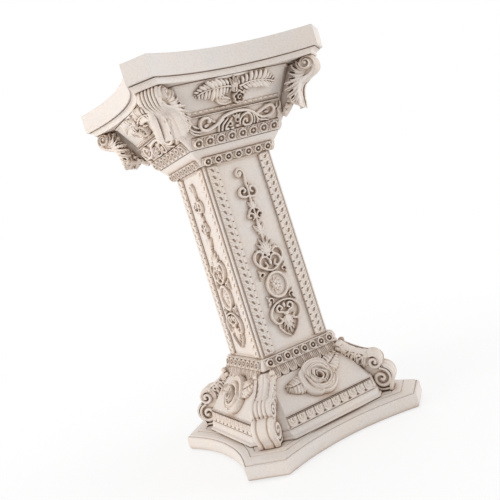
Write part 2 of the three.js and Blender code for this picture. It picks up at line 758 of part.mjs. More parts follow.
// The scrolling acanthus of the lower frieze, one casting per face: a running stem with two
// end spirals, and an arch over a curl between them.
function rinceau(height) {
  const mid = height / 2;
  const foot = 1.6;
  const reach = hCable - CAPITAL_CANT_MID - 2;
  const along = (share) => share * reach;
  const stem = { width: 2.5, rise: RELIEF_RISE, steps: 6 };
  const runner = curveThrough(
    [-reach, foot], [along(-0.35), foot + 0.6], [0, foot], [along(0.37), foot + 0.6], [reach, foot]);
  const crown = [[along(-0.26), mid + 2], [1, height - 2.2], [along(0.31), mid + 2.6]];
  const arch = curveThrough([along(-0.45), 2], ...crown, [along(0.45), 2]);
  return join(
    strand(runner, { width: 2.2, rise: 0.7 * RELIEF_RISE, steps: 4 }),
    strand(new Spiral([along(-0.645), mid + 0.4], [5, 1.3], [-1.4, -7.3]), stem),
    strand(arch, stem),
    strand(new Spiral([along(0.19), mid - 0.2], [4.2, 1.2], [-1.6, 4.2]), stem),
    strand(curveThrough([along(-0.32), 2], [along(-0.16), mid], [-1, mid + 2.6]), { ...stem, steps: 3 }),
    strand(new Spiral([along(0.7), mid + 0.6], [5, 1.3], [-1.8, 4.1]), stem),
  );
}

// ---------------------------------------------------------------- roses
// A full-blown rose as one moulded form: whorls of petals whose scalloped lips stand over the
// valleys between them. Each whorl is one circle of points round the axis of the flower.
const ROSE_POINTS = 16;
const ROSE_WHORLS = [
  { reach: 0.68, height: 0, petals: 0, swing: 0, start: 0 },
  { reach: 0.96, height: 0.4, petals: 5, swing: 0.06, start: 0.3 },
  { reach: 0.93, height: 0.62, petals: 5, swing: 0.06, start: 0.3 },
  { reach: 0.62, height: 0.42, petals: 5, swing: 0.02, start: 0.3 },
  { reach: 0.56, height: 0.9, petals: 4, swing: 0.08, start: 1.1 },
  { reach: 0.38, height: 0.6, petals: 4, swing: 0.03, start: 1.1 },
  { reach: 0.28, height: 1, petals: 3, swing: 0.1, start: 0.6 },
  { reach: 0.14, height: 0.66, petals: 3, swing: 0.04, start: 0.6 },
];

function rose() {
  return loft(ROSE_WHORLS.map(({ reach, height, petals, swing, start }) => (
    Array.from({ length: ROSE_POINTS }, (_, i) => {
      const angle = (2 * Math.PI * i) / ROSE_POINTS;
      const scallop = petals > 0 ? Math.abs(Math.cos((petals * (angle - start)) / 2)) - 0.6 : 0;
      const radius = ROSE_RADIUS * (reach + swing * scallop);
      const lift = ROSE_RISE * height * (1 + 0.16 * scallop * Math.sign(swing));
      return new THREE.Vector3(radius * Math.cos(angle), radius * Math.sin(angle), lift);
    }))));
}

function roseWithLeaves() {
  const blade = leaf({
    length: ROSE_LEAF_LENGTH, width: ROSE_LEAF_WIDTH, rise: ROSE_LEAF_RISE,
    lobes: 2, edge: 0.45 * ROSE_LEAF_RISE,
  });
  const start = 0.4 * ROSE_RADIUS;
  return join(
    rose(),
    moved(blade, { x: -start, turn: Math.PI }),
    moved(blade, { x: start, y: 0.1 * ROSE_RADIUS, turn: 0.42 }),
  );
}

// ---------------------------------------------------------------- corner brackets
// Widens a bracket towards its back, so that it leaves its mould.
function drafted(geometry, front, draft) {
  const p = geometry.attributes.position;
  for (let i = 0; i < p.count; i += 1) p.setZ(i, p.getZ(i) * (1 + draft * (front - p.getX(i))));
  return geometry;
}

function extruded(shape, width, curveSegments = 3) {
  const geometry = new THREE.ExtrudeGeometry(shape, { depth: width, bevelEnabled: false, curveSegments });
  geometry.translate(0, 0, -width / 2);
  return geometry;
}

// A raised spiral on both side faces of a scroll.
function sideSpirals([x, y], radius, width, turn) {
  const path = new Spiral([x, y], [radius - 0.9, 1.1], [turn, turn - 2.5 * Math.PI]);
  const raised = strand(path, { width: 1.7, rise: 0.9, steps: 6, tip: 0.8, base: 0.5 });
  raised.translate(0, 0, width / 2 - 0.5);
  return [raised, outward(welded(raised.clone().scale(1, 1, -1)))];
}

// Ribs that follow the front of a bracket; front(t) gives the point and the way out of the face.
function frontRibs(front, width, count, steps = 2) {
  const pitch = width / count;
  return Array.from({ length: count }, (_, i) => {
    const z = (i + 0.5) * pitch - width / 2;
    const sections = Array.from({ length: steps + 1 }, (_, s) => {
      const { point, out } = front(s / steps);
      const side = 0.36 * pitch;
      const at = (lift, across) => (
        new THREE.Vector3(point.x + out.x * lift, point.y + out.y * lift, z + across));
      return [at(-0.6, side), at(RIB_RISE, 0.4 * side), at(RIB_RISE, -0.4 * side), at(-0.6, -side)];
    });
    return tube(sections);
  });
}

function arcFront([x, y], radius, from, to) {
  return (t) => {
    const angle = THREE.MathUtils.lerp(from, to, t);
    const out = new THREE.Vector2(Math.cos(angle), Math.sin(angle));
    return { point: new THREE.Vector2(x + radius * out.x, y + radius * out.y), out };
  };
}

// The base console: a leaf that runs down from the collar into an upper scroll and a lower volute.
function consoleBracket() {
  const back = (z) => (
    z >= zTongue ? seatBetween(dieHead, tongueHead, z) : seatBetween(dieFoot, dieHead, z));
  const foot = zStep + 0.1;
  const stepBack = cantReach({ half: hStepFoot, cant: STEP_CANT }) + 2 * BOND;
  const friezeBack = cantReach({ half: hFriezeFoot, cant: DIE_CANT }) + 2 * BOND;
  const upper = [back(zDie) + CONSOLE_UPPER_PROUD - CONSOLE_UPPER_RADIUS, zDie + CONSOLE_UPPER_RISE];
  const lower = [friezeBack + CONSOLE_LOWER_PROUD - CONSOLE_LOWER_RADIUS, foot + CONSOLE_LOWER_RISE];
  const waist = new THREE.Vector2(
    upper[0] - 0.8 * CONSOLE_UPPER_RADIUS, upper[1] + 1.22 * CONSOLE_UPPER_RADIUS);
  const throat = zTongue + 0.36 * TONGUE_HEIGHT;
  const neckline = new THREE.Vector2(back(throat) + CONSOLE_LEAF_PROUD, throat);
  const head = zCollar - 2 * BOND;
  const shape = new THREE.Shape();
  shape.moveTo(stepBack, foot);
  shape.lineTo(lower[0] + 0.3 * CONSOLE_LOWER_RADIUS, foot);
  shape.absarc(lower[0], lower[1], CONSOLE_LOWER_RADIUS, -0.24 * Math.PI, 0.4 * Math.PI, false);
  shape.lineTo(upper[0] + 0.96 * CONSOLE_UPPER_RADIUS, upper[1] - 0.36 * CONSOLE_UPPER_RADIUS);
  shape.absarc(upper[0], upper[1], CONSOLE_UPPER_RADIUS, -0.1 * Math.PI, 0.42 * Math.PI, false);
  shape.splineThru([
    waist,
    neckline,
    new THREE.Vector2(back(head) + 0.75 * CONSOLE_LEAF_PROUD, head),
  ]);
  shape.lineTo(back(head), head);
  shape.lineTo(back(zTongue), zTongue);
  shape.lineTo(back(zDie), zDie);
  shape.lineTo(friezeBack, zFrieze);
  shape.lineTo(stepBack, foot + STEP_HEIGHT * 0.35);
  const width = CONSOLE_FACE_WIDTH;
  const front = lower[0] + CONSOLE_LOWER_RADIUS;
  const ridge = new THREE.CatmullRomCurve3([
    new THREE.Vector3(upper[0] - 1, upper[1] + CONSOLE_UPPER_RADIUS - 0.4, 0),
    new THREE.Vector3(waist.x, waist.y, 0),
    new THREE.Vector3(neckline.x, neckline.y, 0),
  ]);
  const crown = arcFront(upper, CONSOLE_UPPER_RADIUS, -0.06 * Math.PI, 0.36 * Math.PI);
  const ribs = frontRibs(crown, 0.8 * width, RIB_COUNT);
  return drafted(join(
    extruded(shape, width),
    ...ribs,
    ...leafBlades(ridge, width),
    ...sideSpirals(upper, CONSOLE_UPPER_RADIUS, width, 1.4),
    ...sideSpirals(lower, CONSOLE_LOWER_RADIUS, width, 1.2),
  ), front, CONSOLE_DRAFT);
}

// Leaf blades lying across the back of a bracket, one pair for each step along its ridge.
function leafBlades(ridge, width, count = 2) {
  const blades = [];
  for (let i = 0; i < count; i += 1) {
    const at = ridge.getPoint((i + 0.5) / count);
    const along = ridge.getTangent((i + 0.5) / count);
    const blade = leaf({ length: 0.56 * width, width: 7, rise: 1.8, lobes: 1, edge: 1 });
    for (const side of [-1, 1]) {
      const out = new THREE.Vector3(0, 0, side);
      const up = new THREE.Vector3().crossVectors(out, along).multiplyScalar(side);
      const lift = up.y < 0 ? up.negate() : up;
      const basis = new THREE.Matrix4().makeBasis(out, new THREE.Vector3().crossVectors(lift, out), lift);
      basis.setPosition(at.x - 0.9 * lift.x, at.y - 0.9 * lift.y, 0);
      blades.push(outward(welded(blade.clone().applyMatrix4(basis))));
    }
  }
  return blades;
}

// The capital volute: a ribbed scroll under the abacus corner, with a leaf tail that ends in a beak.
function voluteBracket() {
  const upper = (z) => seatBetween(plumeFoot, plumeHead, Math.max(z, zPlume));
  const cantAt = (z) => (z >= zCable ? upper(z) : seatBetween(scrollFoot, cableFoot, z));
  const top = zMould - BOND;
  const radius = VOLUTE_RADIUS;
  const eye = [cantAt(top) + VOLUTE_PROUD - radius, top - VOLUTE_DROP];
  const crown = Math.asin(VOLUTE_DROP / radius);
  const beak = new THREE.Vector2(cantAt(zCable) + VOLUTE_TAIL_PROUD, zScroll + 0.2);
  const shape = new THREE.Shape();
  shape.moveTo(cantAt(top), top);
  shape.lineTo(cantAt(zPlume), zPlume);
  shape.lineTo(cantAt(zPlume), zCable);
  shape.lineTo(cantAt(zScroll + 5.5) + 0.4, zScroll + 5.5);
  shape.lineTo(beak.x - 0.6 * VOLUTE_TAIL_PROUD, beak.y + 5.4);
  shape.lineTo(beak.x, beak.y);
  shape.splineThru([
    new THREE.Vector2(beak.x + 0.1, beak.y + 5),
    new THREE.Vector2(beak.x + 0.09 * VOLUTE_TAIL_PROUD, zCable),
    new THREE.Vector2(beak.x + 0.3 * VOLUTE_TAIL_PROUD, zPlume + 0.3),
    new THREE.Vector2(eye[0] + 0.2 * radius, eye[1] - 0.98 * radius),
  ]);
  shape.absarc(eye[0], eye[1], radius, -0.4 * Math.PI, crown, false);
  shape.lineTo(cantAt(top), top);
  const front = eye[0] + radius;
  const width = VOLUTE_FACE_WIDTH;
  const ribs = frontRibs(arcFront(eye, radius, -0.3 * Math.PI, 0.7 * crown), 0.84 * width, RIB_COUNT);
  const centre = [eye[0], top - VOLUTE_EYE_RADIUS - 0.4];
  return drafted(join(
    extruded(shape, width),
    ...ribs,
    ...sideSpirals(centre, VOLUTE_EYE_RADIUS, width, 1.6),
  ), front, VOLUTE_DRAFT);
}

// ---------------------------------------------------------------- assembly
function addCastings() {
  piece('plinth', plinth(), resin);
  piece('base_die', die(), resin);
  piece('tongue_ring', tongueRing(), resinRelief);
  piece('base_collar', collar(), resinRelief);
  piece('shaft', shaft(), resin);
  piece('neck_ring', neck(), resinRelief);
  piece('capital_block', capital(), resin);
  piece('abacus', abacus(), resin);
}

function addPads() {
  padPositions().forEach((at, i) => {
    piece(`foot_pad_${CORNER_NAMES[i]}`, disc(PAD_RADIUS, PAD_THICKNESS, at, 0), felt);
  });
}

function addFaceOrnaments(side) {
  const name = SIDE_NAMES[side];
  const friezeFace = faceFrame(side, hFriezeFoot, zFrieze, hDieFoot, zDie);
  piece(`base_frieze_${name}`, friezeStrip(), resinRelief, friezeFace);

  const dieFace = faceFrame(side, hDieFoot, zDie, hTongueFoot, zTongue);
  const flower = piece(`rose_${name}`, roseWithLeaves(), resinRelief, dieFace);
  flower.position.y = 0.62 * slope(hDieFoot, zDie, hTongueFoot, zTongue);

  const shaftFace = faceFrame(side, SHAFT_FOOT_HALF, zShaft, SHAFT_TOP_HALF, zNeck);
  const panelLength = slope(SHAFT_FOOT_HALF, zShaft, SHAFT_TOP_HALF, zNeck);
  const ornament = piece(`shaft_ornament_${name}`, candelabrum(panelLength), resinRelief, shaftFace);
  ornament.position.z = -PANEL_DEPTH;
  const lean = Math.atan2(SHAFT_FOOT_HALF - SHAFT_TOP_HALF, SHAFT_HEIGHT);
  for (const hand of [-1, 1]) {
    const strip = borderStrip(panelLength - 2);
    if (hand < 0) strip.scale(-1, 1, 1);
    const border = piece(
      `leaf_border_${name}_${hand < 0 ? 'left' : 'right'}`, outward(welded(strip)), resinRelief, shaftFace);
    border.position.set(hand * (borderInner(SHAFT_FOOT_HALF) + BORDER_WIDTH / 2), 1, 0);
    border.rotation.z = hand * lean;
  }

  const scrollFace = faceFrame(side, hScroll, zScroll, hCable, zCable);
  piece(`acanthus_frieze_${name}`, rinceau(slope(hScroll, zScroll, hCable, zCable)), resinRelief, scrollFace);
  const cableFace = faceFrame(side, hCable, zCable, hPlume, zPlume);
  piece(`cable_moulding_${name}`, cableStrip(), resinRelief, cableFace);
  const plumeFace = faceFrame(side, hPlume, zPlume, hMould, zMould);
  piece(`plume_spray_${name}`, plumeSpray(slope(hPlume, zPlume, hMould, zMould)), resinRelief, plumeFace);
}

function addCornerBrackets(corner) {
  const name = CORNER_NAMES[corner];
  const frame = cornerFrame(corner);
  piece(`base_console_${name}`, consoleBracket(), resinRelief, frame);
  piece(`capital_volute_${name}`, voluteBracket(), resinRelief, frame);
}

addCastings();
addPads();
for (let side = 0; side < SIDES; side += 1) addFaceOrnaments(side);
for (let corner = 0; corner < SIDES; corner += 1) addCornerBrackets(corner);

export default stand;
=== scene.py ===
"""A small square classical column stand, cast in off-white resin with a brown wash in its hollows, drawn
together with painted shade.

Shapes are worked out in millimetres, in the row's own frame, and become metres when a piece is made.
"""

import logging
import math
from collections.abc import Callable, Iterable, Sequence
from dataclasses import dataclass, field
from enum import Enum

import bmesh
import bpy
import numpy as np
from mathutils import Matrix, Vector


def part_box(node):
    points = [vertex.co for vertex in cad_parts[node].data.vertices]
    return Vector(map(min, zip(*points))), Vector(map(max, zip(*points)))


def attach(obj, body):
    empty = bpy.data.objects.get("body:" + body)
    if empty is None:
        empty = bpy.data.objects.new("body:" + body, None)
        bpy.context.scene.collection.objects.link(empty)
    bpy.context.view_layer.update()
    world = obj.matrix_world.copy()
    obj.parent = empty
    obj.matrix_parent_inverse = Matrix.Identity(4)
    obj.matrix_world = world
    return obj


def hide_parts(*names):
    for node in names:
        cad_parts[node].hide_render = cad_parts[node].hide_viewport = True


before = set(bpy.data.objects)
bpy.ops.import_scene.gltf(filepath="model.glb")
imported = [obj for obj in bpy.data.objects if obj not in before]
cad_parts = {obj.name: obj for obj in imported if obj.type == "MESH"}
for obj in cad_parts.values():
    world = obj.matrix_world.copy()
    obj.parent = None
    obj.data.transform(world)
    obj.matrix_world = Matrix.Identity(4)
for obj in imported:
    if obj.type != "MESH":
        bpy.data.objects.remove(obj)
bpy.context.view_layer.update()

MM = 0.001
BODY = "root"
BOND = 0.3
Array = np.ndarray
Pair = Sequence[float]
Socket = bpy.types.NodeSocket
log = logging.getLogger("column")


class Place(Enum):
    """A named place on the column."""

    @property
    def word(self) -> str:
        """The place as it stands in the pieces' names."""
        return self.name.lower()


class Side(Place):
    """The four faces of the column, by quarter turns from the front."""

    FRONT = 0
    RIGHT = 1
    BACK = 2
    LEFT = 3

    @property
    def quarter(self) -> tuple[int, int]:
        """The cosine and the sine of its turn from the front."""
        return ((1, 0), (0, 1), (-1, 0), (0, -1))[self.value]


class Corner(Place):
    """The four corners, by quarter turns from the front left one."""

    FRONT_LEFT = 0
    FRONT_RIGHT = 1
    BACK_RIGHT = 2
    BACK_LEFT = 3


class Hand(Place):
    """The two sides of a face or a bracket."""

    LEFT = -1
    RIGHT = 1


# ------------------------------------------------------------------------------ forms
@dataclass
class Form:
    """Points in millimetres and the faces between them, before they become a piece."""

    points: Array
    faces: list[Array]

    def __add__(self, other: "Form") -> "Form":
        """Both forms as one."""
        shift = len(self.points)
        return Form(np.vstack([self.points, other.points]), self.faces + [f + shift for f in other.faces])

    def moved(self, matrix: Matrix) -> "Form":
        """The form after a 4 by 4 move; a mirror leaves its faces the right way round.

        Args:
            matrix: the move, in millimetres.

        Returns:
            A new form.
        """
        m = np.array(matrix)
        points = self.points @ m[:3, :3].T + m[:3, 3]
        if np.linalg.det(m[:3, :3]) < 0:
            return Form(points, [f[:, ::-1] for f in self.faces])
        return Form(points, self.faces)

    def mesh(self, name: str) -> bpy.types.Mesh:
        """A Blender mesh of the form, in metres, with its faces pointing out.

        Args:
            name: the mesh's name.

        Returns:
            The new mesh.
        """
        mesh = bpy.data.meshes.new(name)
        corners = np.concatenate([f.ravel() for f in self.faces]).astype(np.int32)
        sizes = np.concatenate([np.full(len(f), f.shape[1]) for f in self.faces])
        starts = np.concatenate([[0], np.cumsum(sizes)[:-1]]).astype(np.int32)
        mesh.vertices.add(len(self.points))
        mesh.vertices.foreach_set("co", (self.points * MM).ravel())
        mesh.loops.add(len(corners))
        mesh.loops.foreach_set("vertex_index", corners)
        mesh.polygons.add(len(sizes))
        mesh.polygons.foreach_set("loop_start", starts)
        mesh.update(calc_edges=True)
        mesh.validate()
        return mesh

    @staticmethod
    def read(mesh: bpy.types.Mesh) -> "Form":
        """The form of a Blender mesh, back in millimetres."""
        points = np.empty(len(mesh.vertices) * 3)
        mesh.vertices.foreach_get("co", points)
        by_size: dict[int, list[tuple[int, ...]]] = {}
        for polygon in mesh.polygons:
            by_size.setdefault(len(polygon.vertices), []).append(tuple(polygon.vertices))
        return Form(points.reshape(-1, 3) / MM, [np.array(faces) for faces in by_size.values()])

    def softened(self, width: float, steps: int = 2, angle: float = 28) -> "Form":
        """The form with its sharp edges rounded, as a casting's are.

        Args:
            width: the rounding, in millimetres.
            steps: faces across each rounding.
            angle: edges that turn less than this, in degrees, stay.

        Returns:
            A new form.
        """
        bm = bmesh.new()
        mesh = self.mesh("soft")
        bm.from_mesh(mesh)
        bmesh.ops.remove_doubles(bm, verts=bm.verts, dist=1e-6)
        edges = [e for e in bm.edges if e.is_manifold and e.calc_face_angle(0) > math.radians(angle)]
        bmesh.ops.bevel(bm, geom=edges, offset=width * MM, segments=steps, profile=0.5, affect="EDGES",
            clamp_overlap=True)
        bm.to_mesh(mesh)
        bm.free()
        form = Form.read(mesh)
        bpy.data.meshes.remove(mesh)
        return form


def placed(name: str, data: bpy.types.ID) -> bpy.types.Object:
    """A new object of a mesh, light or camera, linked to the scene."""
    made = bpy.data.objects.new(name, data)
    bpy.context.scene.collection.objects.link(made)
    return made


def joined(forms: Iterable[Form]) -> Form:
    """Several forms as one."""
    total = None
    for form in forms:
        total = form if total is None else total + form
    return total


def band(rows: int, columns: int, closed: bool, start: int = 0) -> Array:
    """Quads of a grid of points, row after row.

    Args:
        rows: how many rows of points.
        columns: how many points in a row.
        closed: whether each row joins up with itself.
        start: the index of the first point.

    Returns:
        The faces, four indices each.
    """
    r, c = np.meshgrid(np.arange(rows - 1), np.arange(columns if closed else columns - 1), indexing="ij")
    n = (c + 1) % columns
    quads = np.stack([r * columns + c, r * columns + n, (r + 1) * columns + n, (r + 1) * columns + c], -1)
    return quads.reshape(-1, 4) + start


def loft(loops: Sequence[Array]) -> Form:
    """A solid through loops of points, each end closed with a fan round its middle."""
    count = len(loops[0])
    points = np.vstack([*loops, loops[0].mean(0)[None], loops[-1].mean(0)[None]])
    last = (len(loops) - 1) * count
    i = np.arange(count)
    j = (i + 1) % count
    foot = np.stack([j, i, np.full(count, len(points) - 2)], -1)
    head = np.stack([last + i, last + j, np.full(count, len(points) - 1)], -1)
    return Form(points, [band(len(loops), count, True), np.vstack([foot, head])])


def shell(top: Array, bottom: Array) -> Form:
    """A closed sheet between two grids of points of the same shape.

    Args:
        top: points by row and column, the outer skin.
        bottom: the inner skin.

    Returns:
        The form.
    """
    rows, columns = top.shape[:2]
    half = rows * columns
    grid = np.arange(half).reshape(rows, columns)
    rim = np.concatenate([grid[0, :-1], grid[:-1, -1], grid[-1, :0:-1], grid[:0:-1, 0]])
    after = np.roll(rim, -1)
    walls = np.stack([after, rim, rim + half, after + half], -1)
    quads = band(rows, columns, False)
    points = np.vstack([top.reshape(-1, 3), bottom.reshape(-1, 3)])
    return Form(points, [quads, quads[:, ::-1] + half, walls])


def tube(path: Array, radii: Array, sides: int = 10, squash: float = 1.0) -> Form:
    """A round strand along a path, with closed ends.

    Args:
        path: points along the middle.
        radii: the strand's radius at each point.
        sides: faces round it.
        squash: its height as a share of its width.

    Returns:
        The form.
    """
    tangent = np.gradient(path, axis=0)
    tangent /= np.linalg.norm(tangent, axis=1)[:, None] + 1e-12
    up = np.zeros_like(tangent)
    guide = np.array([0.0, 0.0, 1.0]) if abs(tangent[0, 2]) < 0.9 else np.array([1.0, 0.0, 0.0])
    for i, t in enumerate(tangent):
        guide = guide - t * guide.dot(t)
        guide /= np.linalg.norm(guide) + 1e-12
        up[i] = guide
    side = np.cross(tangent, up)
    angle = np.linspace(0, 2 * math.pi, sides, endpoint=False)
    across, out = np.cos(angle)[None, :, None], np.sin(angle)[None, :, None]
    ring = (side[:, None] * across + squash * up[:, None] * out) * radii[:, None, None]
    return loft(list(path[:, None] + ring))


# ------------------------------------------------------------------------------ relief
def spiral(centre: Pair, radii: Pair, turns: Pair, steps: int = 40) -> Array:
    """Points of a flat spiral.

    Args:
        centre: its middle.
        radii: the first and last radius.
        turns: the first and last angle, in degrees.
        steps: how many points.

    Returns:
        The points, x and y.
    """
    t = np.linspace(0, 1, steps)
    radius = radii[0] + (radii[1] - radii[0]) * t
    angle = np.radians(turns[0] + (turns[1] - turns[0]) * t)
    return np.stack([centre[0] + radius * np.cos(angle), centre[1] + radius * np.sin(angle)], -1)


def arc(centre: Pair, radius: float, start: float, end: float, steps: int) -> Array:
    """Points of a circular arc; the angles are in degrees."""
    return spiral(centre, (radius, radius), (start, end), steps)


def curve(*knots: Pair, steps: int = 36) -> Array:
    """Points of a smooth line through a few knots of any dimension."""
    k = np.array(knots, float)
    k = np.vstack([2 * k[0] - k[1], k, 2 * k[-1] - k[-2]])
    spans = len(k) - 3
    t = np.linspace(0, spans, steps)
    i = np.minimum(t.astype(int), spans - 1)
    u = (t - i)[:, None]
    a, b, c, d = k[i], k[i + 1], k[i + 2], k[i + 3]
    square, cube = 2 * a - 5 * b + 4 * c - d, 3 * b - a - 3 * c + d
    return 0.5 * (2 * b + (c - a) * u + square * u ** 2 + cube * u ** 3)


def arched(*knots: Pair, steps: int) -> Array:
    """Points of a smooth line through knots up to the middle, and on through their mirror images."""
    return curve(*knots, *[(-x, y) for x, y in knots[-2::-1]], steps=steps)


@dataclass
class Relief:
    """A cast relief in the plane of a face, pressed motif by motif into a height field.

    Each motif takes its own rise as a share of the whole relief's.
    """

    low: tuple[float, float]
    high: tuple[float, float]
    step: float = 0.4
    rise: float = 1
    wall: float = 0.45
    x: Array = field(init=False)
    y: Array = field(init=False)
    height: Array = field(init=False)
    inside: Array = field(init=False)

    def __post_init__(self) -> None:
        """Lays out the grid."""
        across = np.arange(self.low[0], self.high[0] + self.step, self.step)
        up = np.arange(self.low[1], self.high[1] + self.step, self.step)
        self.x, self.y = np.meshgrid(across, up)
        self.height = np.zeros_like(self.x)
        self.inside = np.full_like(self.x, -4 * self.step)

    def _window(self, x: float, y: float, reach: float) -> tuple[slice, slice]:
        """The part of the grid within reach of a point."""
        left, right = ((x + sign * reach - self.low[0]) / self.step for sign in (-1, 1))
        foot, head = ((y + sign * reach - self.low[1]) / self.step for sign in (-1, 1))
        rows = slice(max(int(foot), 0), max(int(head) + 2, 0))
        return rows, slice(max(int(left), 0), max(int(right) + 2, 0))

    def _press(self, window: tuple[slice, slice], height: Array, inside: Array) -> None:
        """Keeps the higher of the relief and a motif."""
        self.height[window] = np.maximum(self.height[window], np.where(inside > 0, height, 0))
        self.inside[window] = np.maximum(self.inside[window], inside)

    def _crown(self, off: Array) -> Array:
        """A rounded crown on steep walls; off runs from 0 in the middle to 1 at the edge."""
        return self.wall + (1 - self.wall) * np.sqrt(1 - np.clip(off, 0, 1) ** 2)

    @staticmethod
    def _stretch(x: Array, y: Array, start: Pair, end: Pair) -> tuple[Array, Array, Array]:
        """The distance from a stretch of line, the share along it, and a value positive on its left."""
        dx, dy = end[0] - start[0], end[1] - start[1]
        x, y = x - start[0], y - start[1]
        t = np.clip((x * dx + y * dy) / (dx * dx + dy * dy + 1e-9), 0, 1)
        return np.hypot(x - t * dx, y - t * dy), t, dx * y - dy * x

    def _near(self, path: Array, pad: float) -> tuple[tuple[slice, slice], Array, Array, Array]:
        """Measures the grid against a line.

        Args:
            path: points along the line.
            pad: how far beside the line to look.

        Returns:
            The part of the grid, the distance from the line, how far along it the nearest point is
            as an index, and a value that is positive to the left of it.
        """
        middle = (path.min(0) + path.max(0)) / 2
        window = self._window(*middle, float(np.ptp(path, axis=0).max()) / 2 + pad)
        x, y = self.x[window], self.y[window]
        gap, place, side = np.full_like(x, np.inf), np.zeros_like(x), np.ones_like(x)
        for i, (start, end) in enumerate(zip(path[:-1], path[1:])):
            distance, t, left = self._stretch(x, y, start, end)
            nearer = distance < gap
            gap, place = np.where(nearer, distance, gap), np.where(nearer, i + t, place)
            side = np.where(nearer, left, side)
        return window, gap, place, side

    def strand(self, path: Array, width: float, rise: float, tip: float = 0.5, groove: float = 0,
            cup: float = 0) -> None:
        """A rounded strand that thins towards its ends.

        Args:
            path: points along its middle.
            width: its full width.
            rise: its height.
            tip: the width at its ends as a share of the full one.
            groove: the depth of a channel along its crown.
            cup: how far its right-hand side falls away, as a petal's inside does.
        """
        window, gap, place, side = self._near(path, width)
        along = 0.1 + 0.8 * place / (len(path) - 1)
        radius = 0.5 * width * (tip + (1 - tip) * np.sin(np.pi * along) ** 0.7)
        off = np.clip(gap / radius, 0, 1)
        crown = self._crown(off)
        if cup:
            crown = np.where(side > 0, crown, 1 - cup * off ** 1.3)
        channel = groove * np.exp(-(off / 0.35) ** 2)
        crown *= self.rise * rise * np.sqrt(radius / (0.5 * width))
        self._press(window, crown - channel, radius - gap)

    def carve(self, width: float, floor: float, *lines: Sequence) -> None:
        """Cuts thin grooves along smooth lines through knots, down to a floor, tapered at their ends."""
        for knots in lines:
            path = curve(*knots, steps=14)
            window, gap, place, _ = self._near(path, width)
            half = 0.5 * width * np.sqrt(np.sin(np.pi * (0.06 + 0.88 * place / (len(path) - 1))))
            share = np.clip(gap / half, 0, 1) ** 2
            height = self.height[window]
            self.height[window] = np.minimum(height, floor + (height - floor) * share)

    def strands(self, width: float, rise: float, *lines: Sequence, mirror: bool = False,
            tip: float = 0.5) -> None:
        """Strands along smooth lines through knots, and if asked their mirror images too."""
        for knots in lines:
            for hand in (1, -1) if mirror else (1,):
                self.strand(curve(*knots) * (hand, 1), width, rise, tip)

    def leaf(self, root: Pair, tip: Pair, width: float, rise: float, lobes: int = 4, bend: float = 0,
            notch: float = 0.3) -> None:
        """A leaf with a grooved midrib, side veins and a lobed edge.

        Args:
            root: where it starts.
            tip: where it ends.
            width: its greatest width.
            rise: its height.
            lobes: lobes along each edge.
            bend: how far its middle bows to the left, as a share of its length.
            notch: how deep the lobes are cut, as a share of the width.
        """
        root, tip = np.array(root, float), np.array(tip, float)
        length = float(np.hypot(*(tip - root)))
        along = (tip - root) / length
        window = self._window(*(root + tip) / 2, 0.5 * length + width)
        x, y = self.x[window] - root[0], self.y[window] - root[1]
        reach = x * along[0] + y * along[1]
        s = reach / length
        t = y * along[0] - x * along[1] - bend * length * 4 * s * (1 - s)
        s = np.clip(s, 0, 1)
        envelope = np.sin(np.pi * np.clip(0.06 + 0.94 * s, 0, 1) ** 0.75) ** 0.8
        scallop = np.abs(np.sin(np.pi * (lobes * s - 0.9 * np.abs(t) / (0.5 * width)))) ** 0.6
        half = 0.5 * width * envelope * (1 - notch + notch * scallop) + 0.05
        inside = np.where(reach < -0.2, -self.step, np.minimum(half - np.abs(t), length - reach + 0.2))
        rise = self.rise * rise
        body = rise * self._crown(np.abs(t) / half) * (1 - 0.35 * s ** 2)
        midrib = 0.3 * rise * np.exp(-(t / 0.45) ** 2)
        veins = 0.2 * rise * (scallop - 0.6) * np.minimum(1, np.abs(t)) - midrib
        self._press(window, body + veins, inside)

    def fan(self, root: Pair, tips: Iterable[Pair], width: float, rise: float, mirror: bool = False) -> None:
        """Plain blades from one root to each tip."""
        for x, y in tips:
            for hand in (1, -1) if mirror and x else (1,):
                self.leaf((hand * root[0], root[1]), (hand * x, y), width, rise, lobes=1, notch=0.05)

    def _oval(self, centre: Pair, radii: Pair, pad: float,
            turn: float = 0) -> tuple[tuple[slice, slice], Array]:
        """The grid round an oval, and its distance from the middle in radii; turn is in degrees."""
        window = self._window(*centre, max(radii) + pad)
        x, y = self.x[window] - centre[0], self.y[window] - centre[1]
        c, s = math.cos(math.radians(turn)), math.sin(math.radians(turn))
        return window, np.hypot((x * c + y * s) / radii[0], (y * c - x * s) / radii[1])

    def boss(self, centre: Pair, radii: Pair, rise: float, dish: float = 0) -> None:
        """An oval boss, or with a dish one that is hollowed in its middle."""
        window, off = self._oval(centre, radii, self.step)
        hollow = dish * np.exp(-(off / 0.6) ** 2)
        self._press(window, self.rise * rise * self._crown(off) - hollow, (1 - off) * min(radii))

    def ring(self, centre: Pair, radii: Pair, width: float, rise: float) -> None:
        """An oval ring with a rounded crown."""
        window, off = self._oval(centre, radii, width)
        distance = np.abs((off - 1) * min(radii)) / (width / 2)
        self._press(window, self.rise * rise * self._crown(distance), (1 - distance) * width / 2)

    def sheet(self, outline: Sequence[Pair], rise: float, soft: float = 0.7) -> None:
        """A flat sheet inside an outline, with a rounded edge."""
        outline = np.array(outline, float)
        middle = (outline.min(0) + outline.max(0)) / 2
        window = self._window(*middle, float(np.ptp(outline, axis=0).max()) / 2 + 1)
        x, y = self.x[window], self.y[window]
        gap, within = np.full_like(x, np.inf), np.zeros(x.shape, bool)
        for (ax, ay), (bx, by) in zip(outline, np.roll(outline, -1, axis=0)):
            gap = np.minimum(gap, self._stretch(x, y, (ax, ay), (bx, by))[0])
            within ^= ((ay > y) != (by > y)) & (x < (bx - ax) * (y - ay) / (by - ay or 1e-9) + ax)
        inside = np.where(within, gap, -gap)
        self._press(window, self.rise * rise * self._crown(1 - inside / soft), inside)

